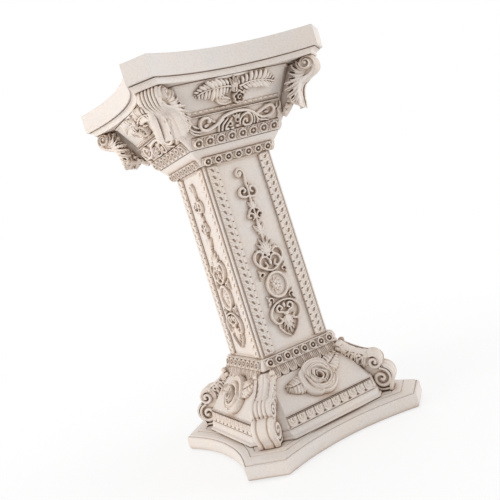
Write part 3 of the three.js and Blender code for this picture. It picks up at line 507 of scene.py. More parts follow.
    def strip(self, reach: float, low: float, high: float, rise: float, soft: float = 0.7) -> None:
        """A flat strip right across the face, between two heights."""
        self.sheet([(-reach, low), (reach, low), (reach, high), (-reach, high)], rise, soft)

    def cut(self, centre: Pair, radii: Pair, turn: float = 0, floor: float = 0.1) -> None:
        """An oval hollow, carved down to a floor a little above the face.

        Args:
            centre: its middle.
            radii: its half length and half width.
            turn: the direction of its length, in degrees.
            floor: the height of its floor.
        """
        window, off = self._oval(centre, radii, self.step, turn)
        share = np.clip(2.5 * (off - 0.6), 0, 1)
        self.height[window] = np.minimum(self.height[window], floor + (self.height[window] - floor) * share)

    def form(self, sink: float = BOND) -> Form:
        """The casting: the pressed relief where a motif stands, closed at its sides and back.

        Args:
            sink: how far its back lies behind the face.

        Returns:
            The form, x across, y up and z out of the face.
        """
        held = self.inside > 0
        cells = held[:-1, :-1] | held[1:, :-1] | held[:-1, 1:] | held[1:, 1:]
        used = np.zeros_like(held)
        for rows, columns in ((slice(None, -1), slice(None, -1)), (slice(1, None), slice(None, -1)),
                (slice(None, -1), slice(1, None)), (slice(1, None), slice(1, None))):
            used[rows, columns] |= cells
        slope_y, slope_x = np.gradient(self.inside, self.step)
        steep = np.hypot(slope_x, slope_y) + 1e-6
        shift = np.where(held, 0, np.clip(-self.inside / steep, 0, 0.8 * self.step)) / steep
        z = np.where(held, np.maximum(self.height, 0.05), 0)
        number = np.cumsum(used.ravel()).reshape(used.shape) - 1
        r, c = np.nonzero(cells)
        quads = np.stack([number[r, c], number[r, c + 1], number[r + 1, c + 1], number[r + 1, c]], -1)
        top = np.stack([(self.x + shift * slope_x)[used], (self.y + shift * slope_y)[used], z[used]], -1)
        back = np.stack([top[:, 0], top[:, 1], np.full(len(top), -sink)], -1)
        count = len(top)
        edges = np.vstack([quads[:, [0, 1]], quads[:, [1, 2]], quads[:, [2, 3]], quads[:, [3, 0]]])
        keys = edges[:, 0] * count + edges[:, 1]
        rim = edges[~np.isin(keys, edges[:, 1] * count + edges[:, 0])]
        walls = np.stack([rim[:, 1], rim[:, 0], rim[:, 0] + count, rim[:, 1] + count], -1)
        return Form(np.vstack([top, back]), [quads, quads[:, ::-1] + count, walls])


# ------------------------------------------------------------------------------ courses and frames
@dataclass(frozen=True)
class Edge:
    """A square level of the column with canted corners."""

    half: float
    cant: float
    z: float

    def loop(self) -> Array:
        """Its eight corners, anticlockwise from above."""
        reach = self.half - self.cant
        points = []
        for side in Side:
            c, s = side.quarter
            for along in (-reach, reach):
                points.append((along * c + self.half * s, along * s - self.half * c, self.z))
        return np.array(points)

    def raised(self, by: float, inset: float = 0) -> "Edge":
        """The same level a little higher, and if asked drawn in."""
        return Edge(self.half - inset, self.cant, self.z + by)


@dataclass(frozen=True)
class Course:
    """A sloping stretch of the column between two edges."""

    low: Edge
    high: Edge

    @property
    def slope(self) -> float:
        """Its height measured up the slope."""
        return math.hypot(self.high.half - self.low.half, self.high.z - self.low.z)

    @property
    def lean(self) -> float:
        """How far its faces lean out, in radians."""
        return math.atan2(self.high.half - self.low.half, self.high.z - self.low.z)

    def clear(self) -> float:
        """Half the width of its face between the corners, at the narrower end."""
        return min(self.low.half - self.low.cant, self.high.half - self.high.cant)

    def face(self, side: Side, proud: float = 0) -> Matrix:
        """The frame on one of its faces: X across, Y up the slope, Z out of the face."""
        turn = Matrix.Rotation(side.value * math.pi / 2, 4, "Z")
        foot = Matrix.Translation((0, -self.low.half, self.low.z))
        tilt = Matrix.Rotation(math.pi / 2 + self.lean, 4, "X")
        return turn @ foot @ tilt @ Matrix.Translation((0, 0, proud))


def corner_frame(corner: Corner) -> Matrix:
    """The frame at a corner: X out along the diagonal, Y up, Z across."""
    turn = Matrix.Rotation(math.pi / 4 + corner.value * math.pi / 2 - math.pi, 4, "Z")
    return turn @ Matrix.Rotation(math.pi / 2, 4, "X")


class Column:
    """Levels and widths of the column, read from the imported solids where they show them."""

    shaft_half: float = 31.0

    def __init__(self) -> None:
        """Reads the solids' boxes and works out every course."""
        low, high = {}, {}
        for node in ("plinth", "base_die", "tongue_ring", "base_collar", "shaft", "neck_ring",
                "capital_block", "abacus"):
            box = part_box(node)
            low[node] = [value / MM for value in box[0]]
            high[node] = [value / MM for value in box[1]]
        self.foot = low["plinth"][2]
        self.plinth_top = low["base_die"][2]
        self.top = high["abacus"][2]
        self.plinth_half = high["plinth"][0]
        self.abacus_half = high["abacus"][0]
        self.mould = low["abacus"][2]
        tongue, collar = low["tongue_ring"][2], low["base_collar"][2]
        shaft_foot = high["base_collar"][2] + BOND
        neck = low["neck_ring"][2] - BOND
        capital = low["capital_block"][2]
        step, shaft_half, neck_half = high["base_die"][0], self.shaft_half, high["neck_ring"][0]
        collar_half = high["base_collar"][0]
        self.step = Edge(step, 25.5, self.plinth_top)
        self.frieze = Course(Edge(step - 5, 19, self.plinth_top + 7),
            Edge(step - 6.6, 19, self.plinth_top + 16))
        self.die = Course(self.frieze.high, Edge(collar_half + 3.6, 5, tongue))
        self.tongues = Course(Edge(collar_half + 2.2, 4, tongue), Edge(collar_half - 1.4, 4, collar))
        self.collar = Course(Edge(collar_half, 1.2, collar), Edge(collar_half - 2.6, 1.2, shaft_foot))
        self.shaft = Course(Edge(shaft_half, 0, shaft_foot), Edge(shaft_half - 1, 0, neck))
        self.neck_coins = Course(Edge(shaft_half + 1, 1.2, neck), Edge(shaft_half + 4, 1.2, neck + 6.5))
        self.neck_fillet = Course(self.neck_coins.high, Edge(neck_half, 1.2, capital))
        self.cap_coins = Course(Edge(neck_half, 1.6, capital), Edge(neck_half + 5, 1.6, capital + 8.5))
        self.scrolls = Course(self.cap_coins.high, Edge(neck_half + 10, 9, capital + 21))
        self.cable = Course(self.scrolls.high, Edge(neck_half + 11.8, 9, capital + 25.5))
        self.plumes = Course(self.cable.high, Edge(neck_half + 23, 15, self.mould))


# ------------------------------------------------------------------------------ finishes
Colour = tuple[float, float, float]


def linear(red: int, green: int, blue: int) -> Colour:
    """A colour given as screen values from 0 to 255, as Blender wants it."""
    def one(value: int) -> float:
        """One channel of it."""
        share = value / 255
        return share / 12.92 if share <= 0.04045 else ((share + 0.055) / 1.055) ** 2.4
    return one(red), one(green), one(blue)


class Nodes:
    """A node tree under construction, with short calls."""

    def __init__(self, tree: bpy.types.NodeTree) -> None:
        """Takes the tree that it adds to."""
        self.tree = tree

    def node(self, kind: str, inputs: dict | None = None, **settings: object) -> bpy.types.Node:
        """Adds a node.

        Args:
            kind: the node's type.
            inputs: values or sockets for its inputs, by name or number.
            settings: its own properties.

        Returns:
            The node.
        """
        node = self.tree.nodes.new(kind)
        for name, value in settings.items():
            setattr(node, name, value)
        for key, value in (inputs or {}).items():
            if isinstance(value, Socket):
                self.tree.links.new(value, node.inputs[key])
            else:
                node.inputs[key].default_value = value
        return node

    def math(self, operation: str, *values: object) -> Socket:
        """A sum on numbers."""
        return self.node("ShaderNodeMath", dict(enumerate(values)), operation=operation).outputs[0]

    def seen_plainly(self) -> Socket:
        """Whether a ray comes from the camera, straight or by way of a shine or a clear piece."""
        path = self.node("ShaderNodeLightPath")
        share = self.math("ADD", path.outputs["Is Camera Ray"], path.outputs["Is Glossy Ray"])
        return self.math("MINIMUM", self.math("ADD", share, path.outputs["Is Transmission Ray"]), 1.0)


class Shader(Nodes):
    """A material's nodes."""

    def __init__(self, name: str) -> None:
        """Starts a material with its Principled shader."""
        self.material = bpy.data.materials.new(name)
        self.material.use_nodes = True
        super().__init__(self.material.node_tree)
        self.surface = self.tree.nodes["Principled BSDF"]
        self.place = self.node("ShaderNodeTexCoord").outputs["Object"]

    def noise(self, scale: float, detail: float = 4, rough: float = 0.55) -> Socket:
        """Cloudy noise in the object's own space; scale is in cells to the metre."""
        return self.node("ShaderNodeTexNoise", {"Vector": self.place, "Scale": scale, "Detail": detail,
            "Roughness": rough}).outputs["Fac"]

    def ramp(self, value: Socket, stops: Sequence[tuple[float, Colour]]) -> Socket:
        """A colour ramp over a value."""
        node = self.node("ShaderNodeValToRGB", {"Fac": value})
        marks = node.color_ramp.elements
        while len(marks) < len(stops):
            marks.new(0.5)
        for mark, (place, colour) in zip(marks, stops):
            mark.position = place
            mark.color = (*colour, 1)
        return node.outputs["Color"]

    def blend(self, share: object, first: object, second: object, kind: str = "MIX") -> Socket:
        """Two colours mixed by a share."""
        node = self.node("ShaderNodeMix", {"Factor": share}, data_type="RGBA", blend_type=kind)
        for socket, value in ((node.inputs[6], first), (node.inputs[7], second)):
            if isinstance(value, Socket):
                self.tree.links.new(value, socket)
            else:
                socket.default_value = (*value, 1)
        return node.outputs[2]

    def bump(self, height: Socket, depth: float, strength: float = 1) -> None:
        """Bumps the surface; depth is in metres."""
        node = self.node("ShaderNodeBump", {"Height": height, "Distance": depth, "Strength": strength})
        self.tree.links.new(node.outputs["Normal"], self.surface.inputs["Normal"])

    def colour(self, value: Socket) -> None:
        """Sends a colour to the surface."""
        self.tree.links.new(value, self.surface.inputs["Base Color"])

    def roughness(self, value: Socket) -> None:
        """Sends a roughness to the surface."""
        self.tree.links.new(value, self.surface.inputs["Roughness"])


@dataclass(frozen=True)
class ResinFinish:
    """Matt cast resin with a brown wash in its hollows, laid by ambient occlusion: the tan in wide hollows
    is partly real wash and partly painted shade, and the dark brown in narrow crevices is painted shadow
    with the darkest wash.
    """

    name: str
    body: Colour = linear(226, 219, 214)
    warm: Colour = linear(230, 219, 209)
    # painted shade: the tan is partly a real wash and partly painted shade in wide hollows; the deep brown
    # is painted shadow in narrow crevices, with the darkest wash
    wash: Colour = linear(196, 172, 152)
    deep: Colour = linear(112, 88, 70)
    wide: float = 0.005
    near: float = 0.0021
    drift: float = 0.1
    roughness: float = 0.62
    grain: float = 0.00006

    def hollow(self, s: Shader, reach: float, foot: float, head: float) -> Socket:
        """How far a point lies open to the sky, from 0 in a hollow to 1, with patches of noise in it.

        Args:
            s: the shader.
            reach: how far it looks, in metres.
            foot: the openness that counts as fully hollow.
            head: the openness that counts as fully open.

        Returns:
            The share.
        """
        sky = s.node("ShaderNodeAmbientOcclusion", {"Distance": reach}, samples=8).outputs["AO"]
        patches = s.math("SUBTRACT", s.math("MULTIPLY", s.noise(170, 3), 2 * self.drift), self.drift)
        return s.node("ShaderNodeMapRange", {"Value": s.math("ADD", sky, patches), "From Min": foot,
            "From Max": head}).outputs["Result"]

    def material(self) -> bpy.types.Material:
        """The finish as a material.

        Returns:
            The material.
        """
        s = Shader(self.name)
        base = s.blend(s.ramp(s.noise(45, 3), ((0.35, (0, 0, 0)), (0.7, (1, 1, 1)))), self.body, self.warm)
        # painted shade: wide ambient occlusion lays the tan wash and painted shade in the hollows, and near
        # ambient occlusion lays the dark painted shadow in the crevices
        washed_and_shaded = s.blend(self.hollow(s, self.wide, 0.3, 0.93), self.wash, base)
        shaded = s.blend(self.hollow(s, self.near, 0.16, 0.7), self.deep, washed_and_shaded)
        specks = s.ramp(s.noise(900, 2, 0.7), ((0.3, (0.9, 0.9, 0.9)), (0.55, (1, 1, 1))))
        s.colour(s.blend(1.0, shaded, specks, "MULTIPLY"))
        s.roughness(s.math("ADD", s.math("MULTIPLY", s.noise(220, 3), 0.16), self.roughness - 0.08))
        s.surface.inputs["Specular IOR Level"].default_value = 0.35
        s.bump(s.math("ADD", s.noise(1500, 3, 0.6), s.math("MULTIPLY", s.noise(260, 2), 1.6)), self.grain)
        return s.material


@dataclass(frozen=True)
class FeltFinish:
    """Short dark felt under the foot."""

    name: str = "felt"
    pile: Colour = linear(74, 64, 56)
    dark: Colour = linear(48, 41, 36)

    def material(self) -> bpy.types.Material:
        """The finish as a material."""
        s = Shader(self.name)
        s.colour(s.ramp(s.noise(1400, 5, 0.7), ((0.35, self.dark), (0.65, self.pile))))
        s.surface.inputs["Roughness"].default_value = 0.95
        s.surface.inputs["Sheen Weight"].default_value = 0.3
        s.bump(s.noise(2200, 4, 0.7), 0.0002)
        return s.material


@dataclass(frozen=True)
class FloorFinish:
    """A plain white floor that keeps a soft shadow near the feet and runs out into white."""

    name: str = "floor"
    pale: Colour = linear(253, 252, 251)
    fade_from: float = 0.12
    fade_to: float = 0.42
    hold: float = 0.25

    def material(self) -> bpy.types.Material:
        """The finish as a material."""
        s = Shader(self.name)
        s.surface.inputs["Base Color"].default_value = (*self.pale, 1)
        s.surface.inputs["Roughness"].default_value = 0.9
        distance = s.node("ShaderNodeVectorMath", {0: s.place}, operation="LENGTH").outputs["Value"]
        share = s.node("ShaderNodeMapRange", {"Value": distance, "From Min": self.fade_from,
            "From Max": self.fade_to, "To Min": 1.0 - self.hold}).outputs["Result"]
        white = s.node("ShaderNodeEmission", {"Color": (1, 1, 1, 1), "Strength": 1.0}).outputs[0]
        mix = s.node("ShaderNodeMixShader",
            {"Fac": s.math("MULTIPLY", share, s.seen_plainly()), 1: s.surface.outputs[0], 2: white})
        s.tree.links.new(mix.outputs[0], s.tree.nodes["Material Output"].inputs["Surface"])
        return s.material


# ------------------------------------------------------------------------------ geometry nodes
class Growth(Nodes):
    """A Geometry Nodes tree with named inputs, which grows a form that repeats or follows a path."""

    def __init__(self, name: str, material: bpy.types.Material) -> None:
        """Starts an empty tree that ends in the given material."""
        super().__init__(bpy.data.node_groups.new(name, "GeometryNodeTree"))
        self.material = material
        for way in ("INPUT", "OUTPUT"):
            self.tree.interface.new_socket("Geometry", in_out=way, socket_type="NodeSocketGeometry")
        self.entry = self.tree.nodes.new("NodeGroupInput")
        self.exit = self.tree.nodes.new("NodeGroupOutput")
        self.build()

    def build(self) -> None:
        """Makes the tree; each kind of growth has its own."""
        raise NotImplementedError

    def size(self, name: str, kind: str = "Float") -> Socket:
        """Adds a named input."""
        self.tree.interface.new_socket(name, in_out="INPUT", socket_type=f"NodeSocket{kind}")
        return self.entry.outputs[name]

    def copies(self, points: Socket, unit: Socket, **more: object) -> Socket:
        """The unit on each of the points, turned and sized by what else is given."""
        shape = self.node("GeometryNodeObjectInfo", {"Object": unit}).outputs["Geometry"]
        return self.node("GeometryNodeInstanceOnPoints",
            {"Points": points, "Instance": shape, **more}).outputs[0]

    def finish(self, geometry: Socket) -> None:
        """Realizes the instances, gives them the material and ends the tree."""
        real = self.node("GeometryNodeRealizeInstances", {"Geometry": geometry})
        dressed = self.node("GeometryNodeSetMaterial",
            {"Geometry": real.outputs[0], "Material": self.material})
        self.tree.links.new(dressed.outputs[0], self.exit.inputs[0])

    def grow(self, seed: Form | None = None, **sizes: object) -> Form:
        """Runs the tree.

        Args:
            seed: the form it starts from, such as a path.
            sizes: values for its named inputs; a form becomes an object.

        Returns:
            What it grew, in millimetres.
        """
        holder = as_object("growing", seed or Form(np.zeros((1, 3)), [np.zeros((0, 3), int)]),
            edges_only=True)
        modifier = holder.modifiers.new("growth", "NODES")
        modifier.node_group = self.tree
        spares = []
        for item in self.tree.interface.items_tree:
            if item.in_out == "INPUT" and item.name in sizes:
                value = sizes[item.name]
                if isinstance(value, Form):
                    value = as_object(f"unit_{item.name}", value)
                    spares.append(value)
                modifier[item.identifier] = value
        bpy.context.view_layer.update()
        seen = holder.evaluated_get(bpy.context.evaluated_depsgraph_get())
        mesh = bpy.data.meshes.new_from_object(seen)
        holder.modifiers.remove(modifier)
        form = Form.read(mesh)
        bpy.data.meshes.remove(mesh)
        for spare in (holder, *spares):
            bpy.data.objects.remove(spare)
        return form


def as_object(name: str, form: Form, edges_only: bool = False) -> bpy.types.Object:
    """A working object of a form, or of a bare line through its points."""
    if not edges_only:
        return placed(name, form.mesh(name))
    mesh = bpy.data.meshes.new(name)
    mesh.from_pydata((form.points * MM).tolist(), [(i, i + 1) for i in range(len(form.points) - 1)], [])
    return placed(name, mesh)


def line(points: Array) -> Form:
    """A path as a form without faces."""
    flat = points if points.shape[1] == 3 else np.column_stack([points, np.zeros(len(points))])
    return Form(flat, [np.zeros((0, 3), int)])


class RowGrowth(Growth):
    """A straight row of one unit."""

    def build(self) -> None:
        """A line of points with the unit on each."""
        unit, count = self.size("Unit", "Object"), self.size("Count", "Int")
        start, step = self.size("Start", "Vector"), self.size("Step", "Vector")
        row = self.node("GeometryNodeMeshLine", {"Count": count, "Start Location": start, "Offset": step})
        self.finish(self.copies(row.outputs[0], unit))


class SprayGrowth(Growth):
    """Leaflets in pairs along a stem, shorter towards both its ends."""

    def build(self) -> None:
        """Two sets of instances on the resampled stem, one for each hand."""
        unit, count = self.size("Unit", "Object"), self.size("Count", "Int")
        spread, seed = self.size("Spread"), self.size("Seed", "Int")
        stem = self.node("GeometryNodeMeshToCurve", {"Mesh": self.entry.outputs[0]})
        spaced = self.node("GeometryNodeResampleCurve", {"Curve": stem.outputs[0], "Count": count})
        along = self.node("GeometryNodeSplineParameter").outputs["Factor"]
        belly = self.math("SINE", self.math("MULTIPLY_ADD", along, 2.3, 0.55))
        chance = self.node("FunctionNodeRandomValue", {"Seed": seed}, data_type="FLOAT")
        chance.inputs[2].default_value, chance.inputs[3].default_value = 0.88, 1.12
        length = self.math("MULTIPLY", belly, chance.outputs[1])
        scale = self.node("ShaderNodeCombineXYZ", {"X": length, "Y": length, "Z": length})
        facing = self.node("FunctionNodeAlignRotationToVector",
            {"Vector": self.node("GeometryNodeInputTangent").outputs[0]}, axis="X", pivot_axis="Z")
        both = self.node("GeometryNodeJoinGeometry")
        for hand in Hand:
            angle = self.math("MULTIPLY", spread, float(hand.value))
            angle = self.math("MULTIPLY", angle, self.math("MULTIPLY_ADD", along, -0.45, 1.2))
            turned = self.node("FunctionNodeRotateRotation", {"Rotation": facing.outputs[0],
                "Rotate By": self.node("ShaderNodeCombineXYZ", {"Z": angle}).outputs[0]},
                rotation_space="LOCAL")
            copies = self.copies(spaced.outputs[0], unit, Rotation=turned.outputs[0], Scale=scale.outputs[0])
            self.tree.links.new(copies, both.inputs[0])
        self.finish(both.outputs[0])


class SlabGrowth(Growth):
    """A slab whose section is swept round a square plan with canted corners and hollowed sides."""

    def build(self) -> None:
        """A grid whose columns go round the plan and whose rows go down the section."""
        half, cant, sag, wear = self.size("Half"), self.size("Cant"), self.size("Sag"), self.size("Wear")
        steps, rows = self.size("Steps", "Int"), self.size("Rows", "Int")
        per_side = self.math("ADD", steps, 1.0)
        columns = self.math("MULTIPLY", per_side, 4.0)
        grid = self.node("GeometryNodeMeshGrid",
            {"Size X": 1.0, "Size Y": 1.0, "Vertices X": rows, "Vertices Y": self.math("ADD", columns, 1.0)})
        number = self.node("GeometryNodeInputIndex").outputs[0]
        around = self.math("ADD", columns, 1.0)
        row = self.math("FLOOR", self.math("DIVIDE", self.math("ADD", number, 0.5), around))
        column = self.math("MODULO", self.math("MODULO", number, around), columns)
        side = self.math("FLOOR", self.math("DIVIDE", self.math("ADD", column, 0.5), per_side))
        place = self.math("SUBTRACT", column, self.math("MULTIPLY", side, per_side))
        reach = self.math("SUBTRACT", half, cant)
        share = self.math("SUBTRACT", self.math("DIVIDE", self.math("MULTIPLY", place, 2.0), steps), 1.0)
        along = self.math("MULTIPLY", reach, share)
        squares = self.math("ADD", self.math("MULTIPLY", reach, reach), self.math("MULTIPLY", sag, sag))
        radius = self.math("DIVIDE", squares, self.math("MULTIPLY", sag, 2.0))
        under = self.math("SUBTRACT", self.math("MULTIPLY", radius, radius),
            self.math("MULTIPLY", along, along))
        inset = self.math("SUBTRACT", self.math("SQRT", under), self.math("SUBTRACT", radius, sag))
        out = self.math("SUBTRACT", inset, half)
        section = self.node("GeometryNodeSampleIndex", {"Geometry": self.entry.outputs[0], "Index": row},
            data_type="FLOAT_VECTOR", domain="POINT")
        value = next(s for s in section.inputs if s.type == "VECTOR" and s.enabled)
        self.tree.links.new(self.node("GeometryNodeInputPosition").outputs[0], value)
        sampled = next(s for s in section.outputs if s.type == "VECTOR" and s.enabled)
        parts = self.node("ShaderNodeSeparateXYZ", {0: sampled})
        shrink = self.math("DIVIDE", parts.outputs["X"], half)
        flat = self.node("ShaderNodeCombineXYZ", {"X": self.math("MULTIPLY", along, shrink),
            "Y": self.math("MULTIPLY", out, shrink), "Z": parts.outputs["Z"]})
        turn = self.node("ShaderNodeVectorRotate", {"Vector": flat.outputs[0],
            "Angle": self.math("MULTIPLY", side, math.pi / 2)}, rotation_type="Z_AXIS")
        rubs = self.node("ShaderNodeTexNoise",
            {"Vector": turn.outputs[0], "Scale": 60.0, "Detail": 3.0}).outputs[0]
        keep = self.math("SUBTRACT", 1.0, self.math("MULTIPLY", wear, rubs))
        inward = self.node("ShaderNodeCombineXYZ", {"X": keep, "Y": keep, "Z": 1.0})
        worn = self.node("ShaderNodeVectorMath", {0: turn.outputs[0], 1: inward.outputs[0]},
            operation="MULTIPLY")
        placed = self.node("GeometryNodeSetPosition",
            {"Geometry": grid.outputs[0], "Position": worn.outputs[0]})
        closed = self.node("GeometryNodeMergeByDistance", {"Geometry": placed.outputs[0], "Distance": 1e-6})
        self.finish(closed.outputs[0])


# ------------------------------------------------------------------------------ making pieces
class Workshop:
    """Turns forms into pieces of the object and reports each one."""

    def __init__(self) -> None:
        """Mixes the finishes and draws up the growths."""
        self.body = ResinFinish("cast_resin").material()
        # the relief finish has a darker tan and a darker brown: stronger painted shade and painted shadow in
        # its hollows and crevices, together with the wash
        self.relief = ResinFinish("cast_resin_relief", body=linear(228, 219, 212),
            warm=linear(232, 219, 207), wash=linear(190, 165, 144), deep=linear(98, 74, 56)).material()
        self.felt = FeltFinish().material()
        self.row = RowGrowth("row_of_castings", self.relief)
        self.spray = SprayGrowth("leaf_spray", self.relief)
        self.slab = SlabGrowth("hollow_sided_slab", self.body)

    def piece(self, name: str, form: Form, *nodes: str, plain: bool = False,
            crease: float = 40) -> bpy.types.Object:
        """Makes a piece of the object.

        Args:
            name: the piece's name.
            form: its shape, in the row's frame.
            nodes: the solids that it stands for.
            plain: whether it is a plain casting rather than relief work.
            crease: faces that meet at more than this, in degrees, shade sharp.

        Returns:
            The object.
        """
        mesh = form.mesh(name)
        bm = bmesh.new()
        bm.from_mesh(mesh)
        bmesh.ops.remove_doubles(bm, verts=bm.verts, dist=1e-7)
        bmesh.ops.recalc_face_normals(bm, faces=bm.faces)
        bm.to_mesh(mesh)
        bm.free()
        mesh.polygons.foreach_set("use_smooth", [True] * len(mesh.polygons))
        mesh.set_sharp_from_angle(angle=math.radians(crease))
        mesh.materials.append(self.body if plain else self.relief)
        made = placed(name, mesh)
        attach(made, BODY)
        if nodes:
            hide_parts(*nodes)
        log.info("%s: %d faces", name, len(mesh.polygons))
        return made

    def on_sides(self, name: str, form: Form, course: Course, node: str, proud: float = 0,
            crease: float = 40) -> None:
        """Makes one piece of a form for each side of a course.

        Args:
            name: the pieces' name, to which the side's is added.
            form: the shape, in the frame of a face.
            course: the stretch of the column that carries it.
            node: the name of the solids that they stand for.
            proud: how far out of the face it is set.
            crease: as for one piece.
        """
        for side in Side:
            self.piece(f"{name}_{side.word}", form.moved(course.face(side, proud)), f"{node}_{side.word}",
                crease=crease)

    def on_corners(self, name: str, form: Form, node: str) -> None:
        """Makes one piece of a form, drawn in a corner's frame, for each corner."""
        for corner in Corner:
            self.piece(f"{name}_{corner.word}", form.moved(corner_frame(corner)), f"{node}_{corner.word}")

    def row_of(self, unit: Form, count: int, half: float, lift: float = 0) -> Form:
        """A row of units that fills a face between its corners.

        Args:
            unit: one of them, centred across.
            count: how many.
            half: half the length of the row.
            lift: how far up the face it stands.

        Returns:
            The row, in the frame of a face.
        """
        pitch = 2 * half / count
        return self.row.grow(Unit=unit, Count=count, Start=(MM * (0.5 * pitch - half), MM * lift, 0),
            Step=(MM * pitch, 0, 0))


@dataclass
class Part:
    """A sub-assembly: the shop that makes its pieces and the column that it belongs to."""

    shop: Workshop
    column: Column

    def build(self) -> None:
        """Makes its pieces; each part has its own."""
        raise NotImplementedError


def solid_through(*edges: Edge, soften: float = 0.35) -> Form:
    """A casting through square levels, with softened edges."""
    return loft([edge.loop() for edge in edges]).softened(soften)


# ------------------------------------------------------------------------------ slabs
@dataclass
class Slab(Part):
    """A slab whose section is swept round a plan with canted corners and hollowed sides."""

    cant: float = 14.5
    sag: float = 14.5
    steps: int = 28
    wear: float = 0.003
    crease: float = 32

    def section(self) -> Array:
        """The section from the underside to the top, as reach from the axis and height."""
        raise NotImplementedError

    def sweep(self, name: str, node: str, half: float) -> None:
        """Sweeps the section round the plan and makes the piece.

        Args:
            name: the piece's name.
            node: the solid that it stands for.
            half: half the slab's width.
        """
        reach = self.section()
        path = np.column_stack([reach[:, 0], np.zeros(len(reach)), reach[:, 1]])
        form = self.shop.slab.grow(line(path), Half=half * MM, Cant=self.cant * MM, Sag=self.sag * MM,
            Wear=self.wear, Steps=self.steps, Rows=len(path))
        self.shop.piece(name, form, node, plain=True, crease=self.crease)


@dataclass
class Abacus(Slab):
    """The top slab, hollowed on its four sides, with a groove and a quarter-round beneath its edge."""

    moulding: float = 4.6
    soft: float = 0.7

    def section(self) -> Array:
        """The slab's section from its underside to its top, as reach from the axis and height."""
        half, foot, top = self.column.abacus_half, self.column.mould, self.column.top
        slab = foot + self.moulding
        quarter = [(half - 2.2 - 2.6 * math.cos(a), slab - 1.0 - 3.0 * (1 - math.sin(a)))
            for a in np.linspace(0.1, 0.5 * math.pi, 6)]
        round_over = [(half - self.soft * (1 - math.sin(a)), top - self.soft * (1 - math.cos(a)))
            for a in np.linspace(0.5 * math.pi, 0, 5)]
        return np.array([(0, foot), (half - 18, foot), (half - 5.2, foot), (half - 5, foot + 0.4), *quarter,
            (half - 2.0, slab - 0.8), (half - 2.9, slab - 0.5), (half - 2.9, slab - 0.1), (half - 0.5, slab),
            (half, slab + 0.6), (half, top - self.soft - 0.2), *round_over, (half - 12, top), (0, top)])

    def build(self) -> None:
        """Makes the piece."""
        self.sweep("top_slab", "abacus", self.column.abacus_half)


@dataclass
class Plinth(Slab):
    """The foot slab, hollowed on its four sides, with step lines and a gentle rise to the die."""

    cant: float = 22
    sag: float = 11.5
    steps: int = 60
    wear: float = 0.014
    crease: float = 30

    def section(self) -> Array:
        """The slab's section from its underside to its top."""
        half, foot, top = self.column.plinth_half, self.column.foot, self.column.plinth_top - BOND
        return np.array([(0, foot), (half - 10, foot), (half - 1.6, foot), (half - 0.6, foot + 0.6),
            (half, foot + 1.8), (half, top - 4.6), (half - 0.3, top - 3.9), (half - 1.2, top - 3.4),
            (half - 1.5, top - 3.8), (half - 1.9, top - 3.6), (half - 2.3, top - 2.3),
            (half - 3.4, top - 1.9), (half - 6.2, top - 1.5), (half - 9.0, top - 1.0),
            (half - 9.4, top - 1.4), (half - 9.8, top - 1.2), (half - 10.1, top - 0.4),
            (half - 15.0, top - 0.2), (half - 15.4, top - 0.7), (half - 15.8, top - 0.6), (half - 16.1, top),
            (half - 40, top), (0, top)])

    def build(self) -> None:
        """Makes the piece."""
        self.sweep("foot_slab", "plinth", self.column.plinth_half)


# ------------------------------------------------------------------------------ courses
@dataclass
class CoinBand:
    """A band of round drops, each in a U-shaped rim, with darts between, round all sides of a course."""

    shop: Workshop
    course: Course
    name: str
    count: int
    rise: float = 1.9

    def unit(self, pitch: float, height: float) -> Form:
        """One drop in its ring on a raised ground, with a hooked groove beside it."""
        relief = Relief((-0.5 * pitch, 0), (0.5 * pitch, height), 0.31, self.rise)
        y = 0.5 * height
        reach = min(0.335 * pitch, 0.42 * height)
        relief.strip(pitch, 0.1, height - 0.1, 0.42, 0.3)
        relief.ring((0, y), (reach, reach), 1.4, 1.35)
        moat = 0.58 * reach
        groove = [(moat * math.cos(a), y + moat * math.sin(a)) for a in np.linspace(1.9, 6.9, 9)]
        relief.carve(1.1, 0.0, groove)
        relief.boss((0.05, y), (0.36 * reach, 0.36 * reach), 1.35)
        hook = 0.5 * pitch
        for x in (-hook, hook):
            relief.carve(0.9, 0.1, [(x + 0.5, height - 0.4), (x - 0.7, y + 0.5 * reach),
                (x - 0.8, y - 0.4 * reach), (x + 0.3, y - 1.1 * reach)])
        relief.strip(pitch, height - 0.9, height - 0.1, 0.9, 0.25)
        return relief.form()

    def build(self) -> None:
        """Makes the band, one piece for all four sides."""
        clear = self.course.clear()
        unit = self.unit(2 * clear / self.count, self.course.slope - 0.6)
        row = self.shop.row_of(unit, self.count, clear, 0.2)
        self.shop.piece(self.name, joined(row.moved(self.course.face(side)) for side in Side))


class BaseCourses(Part):
    """The die with its step and fillets, and the collar under the shaft."""

    def build(self) -> None:
        """Makes the castings of the base."""
        c = self.column
        step, foot, head, top = c.step, c.frieze.low, c.frieze.high, c.die.high
        fillets = [(3.6, 5.1), (3.9, 5.3), (3.9, 6.0), (4.6, 6.2), (4.3, 6.4), (4.3, 7.0), (5.0, 7.15)]
        levels = [step, step.raised(1.1), step.raised(1.5, 0.5),
            Edge(step.half - 2.2, step.cant - 2.2, step.z + 1.9)]
        for by, up in fillets:
            levels.append(Edge(step.half - by, foot.cant + 3.4 - 0.5 * by, step.z + up))
        levels += [foot.raised(0.2), head, head.raised(0.3, 0.8), top.raised(-BOND, 0.1)]
        die = loft([level.loop() for level in levels])
        self.shop.piece("base_casting", die.softened(0.18), "base_die", plain=True)
        collar = solid_through(c.collar.low, c.collar.low.raised(0.6),
            c.collar.high.raised(-BOND - 0.8, -0.4), c.collar.high.raised(-BOND))
        self.shop.piece("collar_course", collar, "base_collar", plain=True)
        CoinBand(self.shop, c.collar, "collar_coins", 8).build()


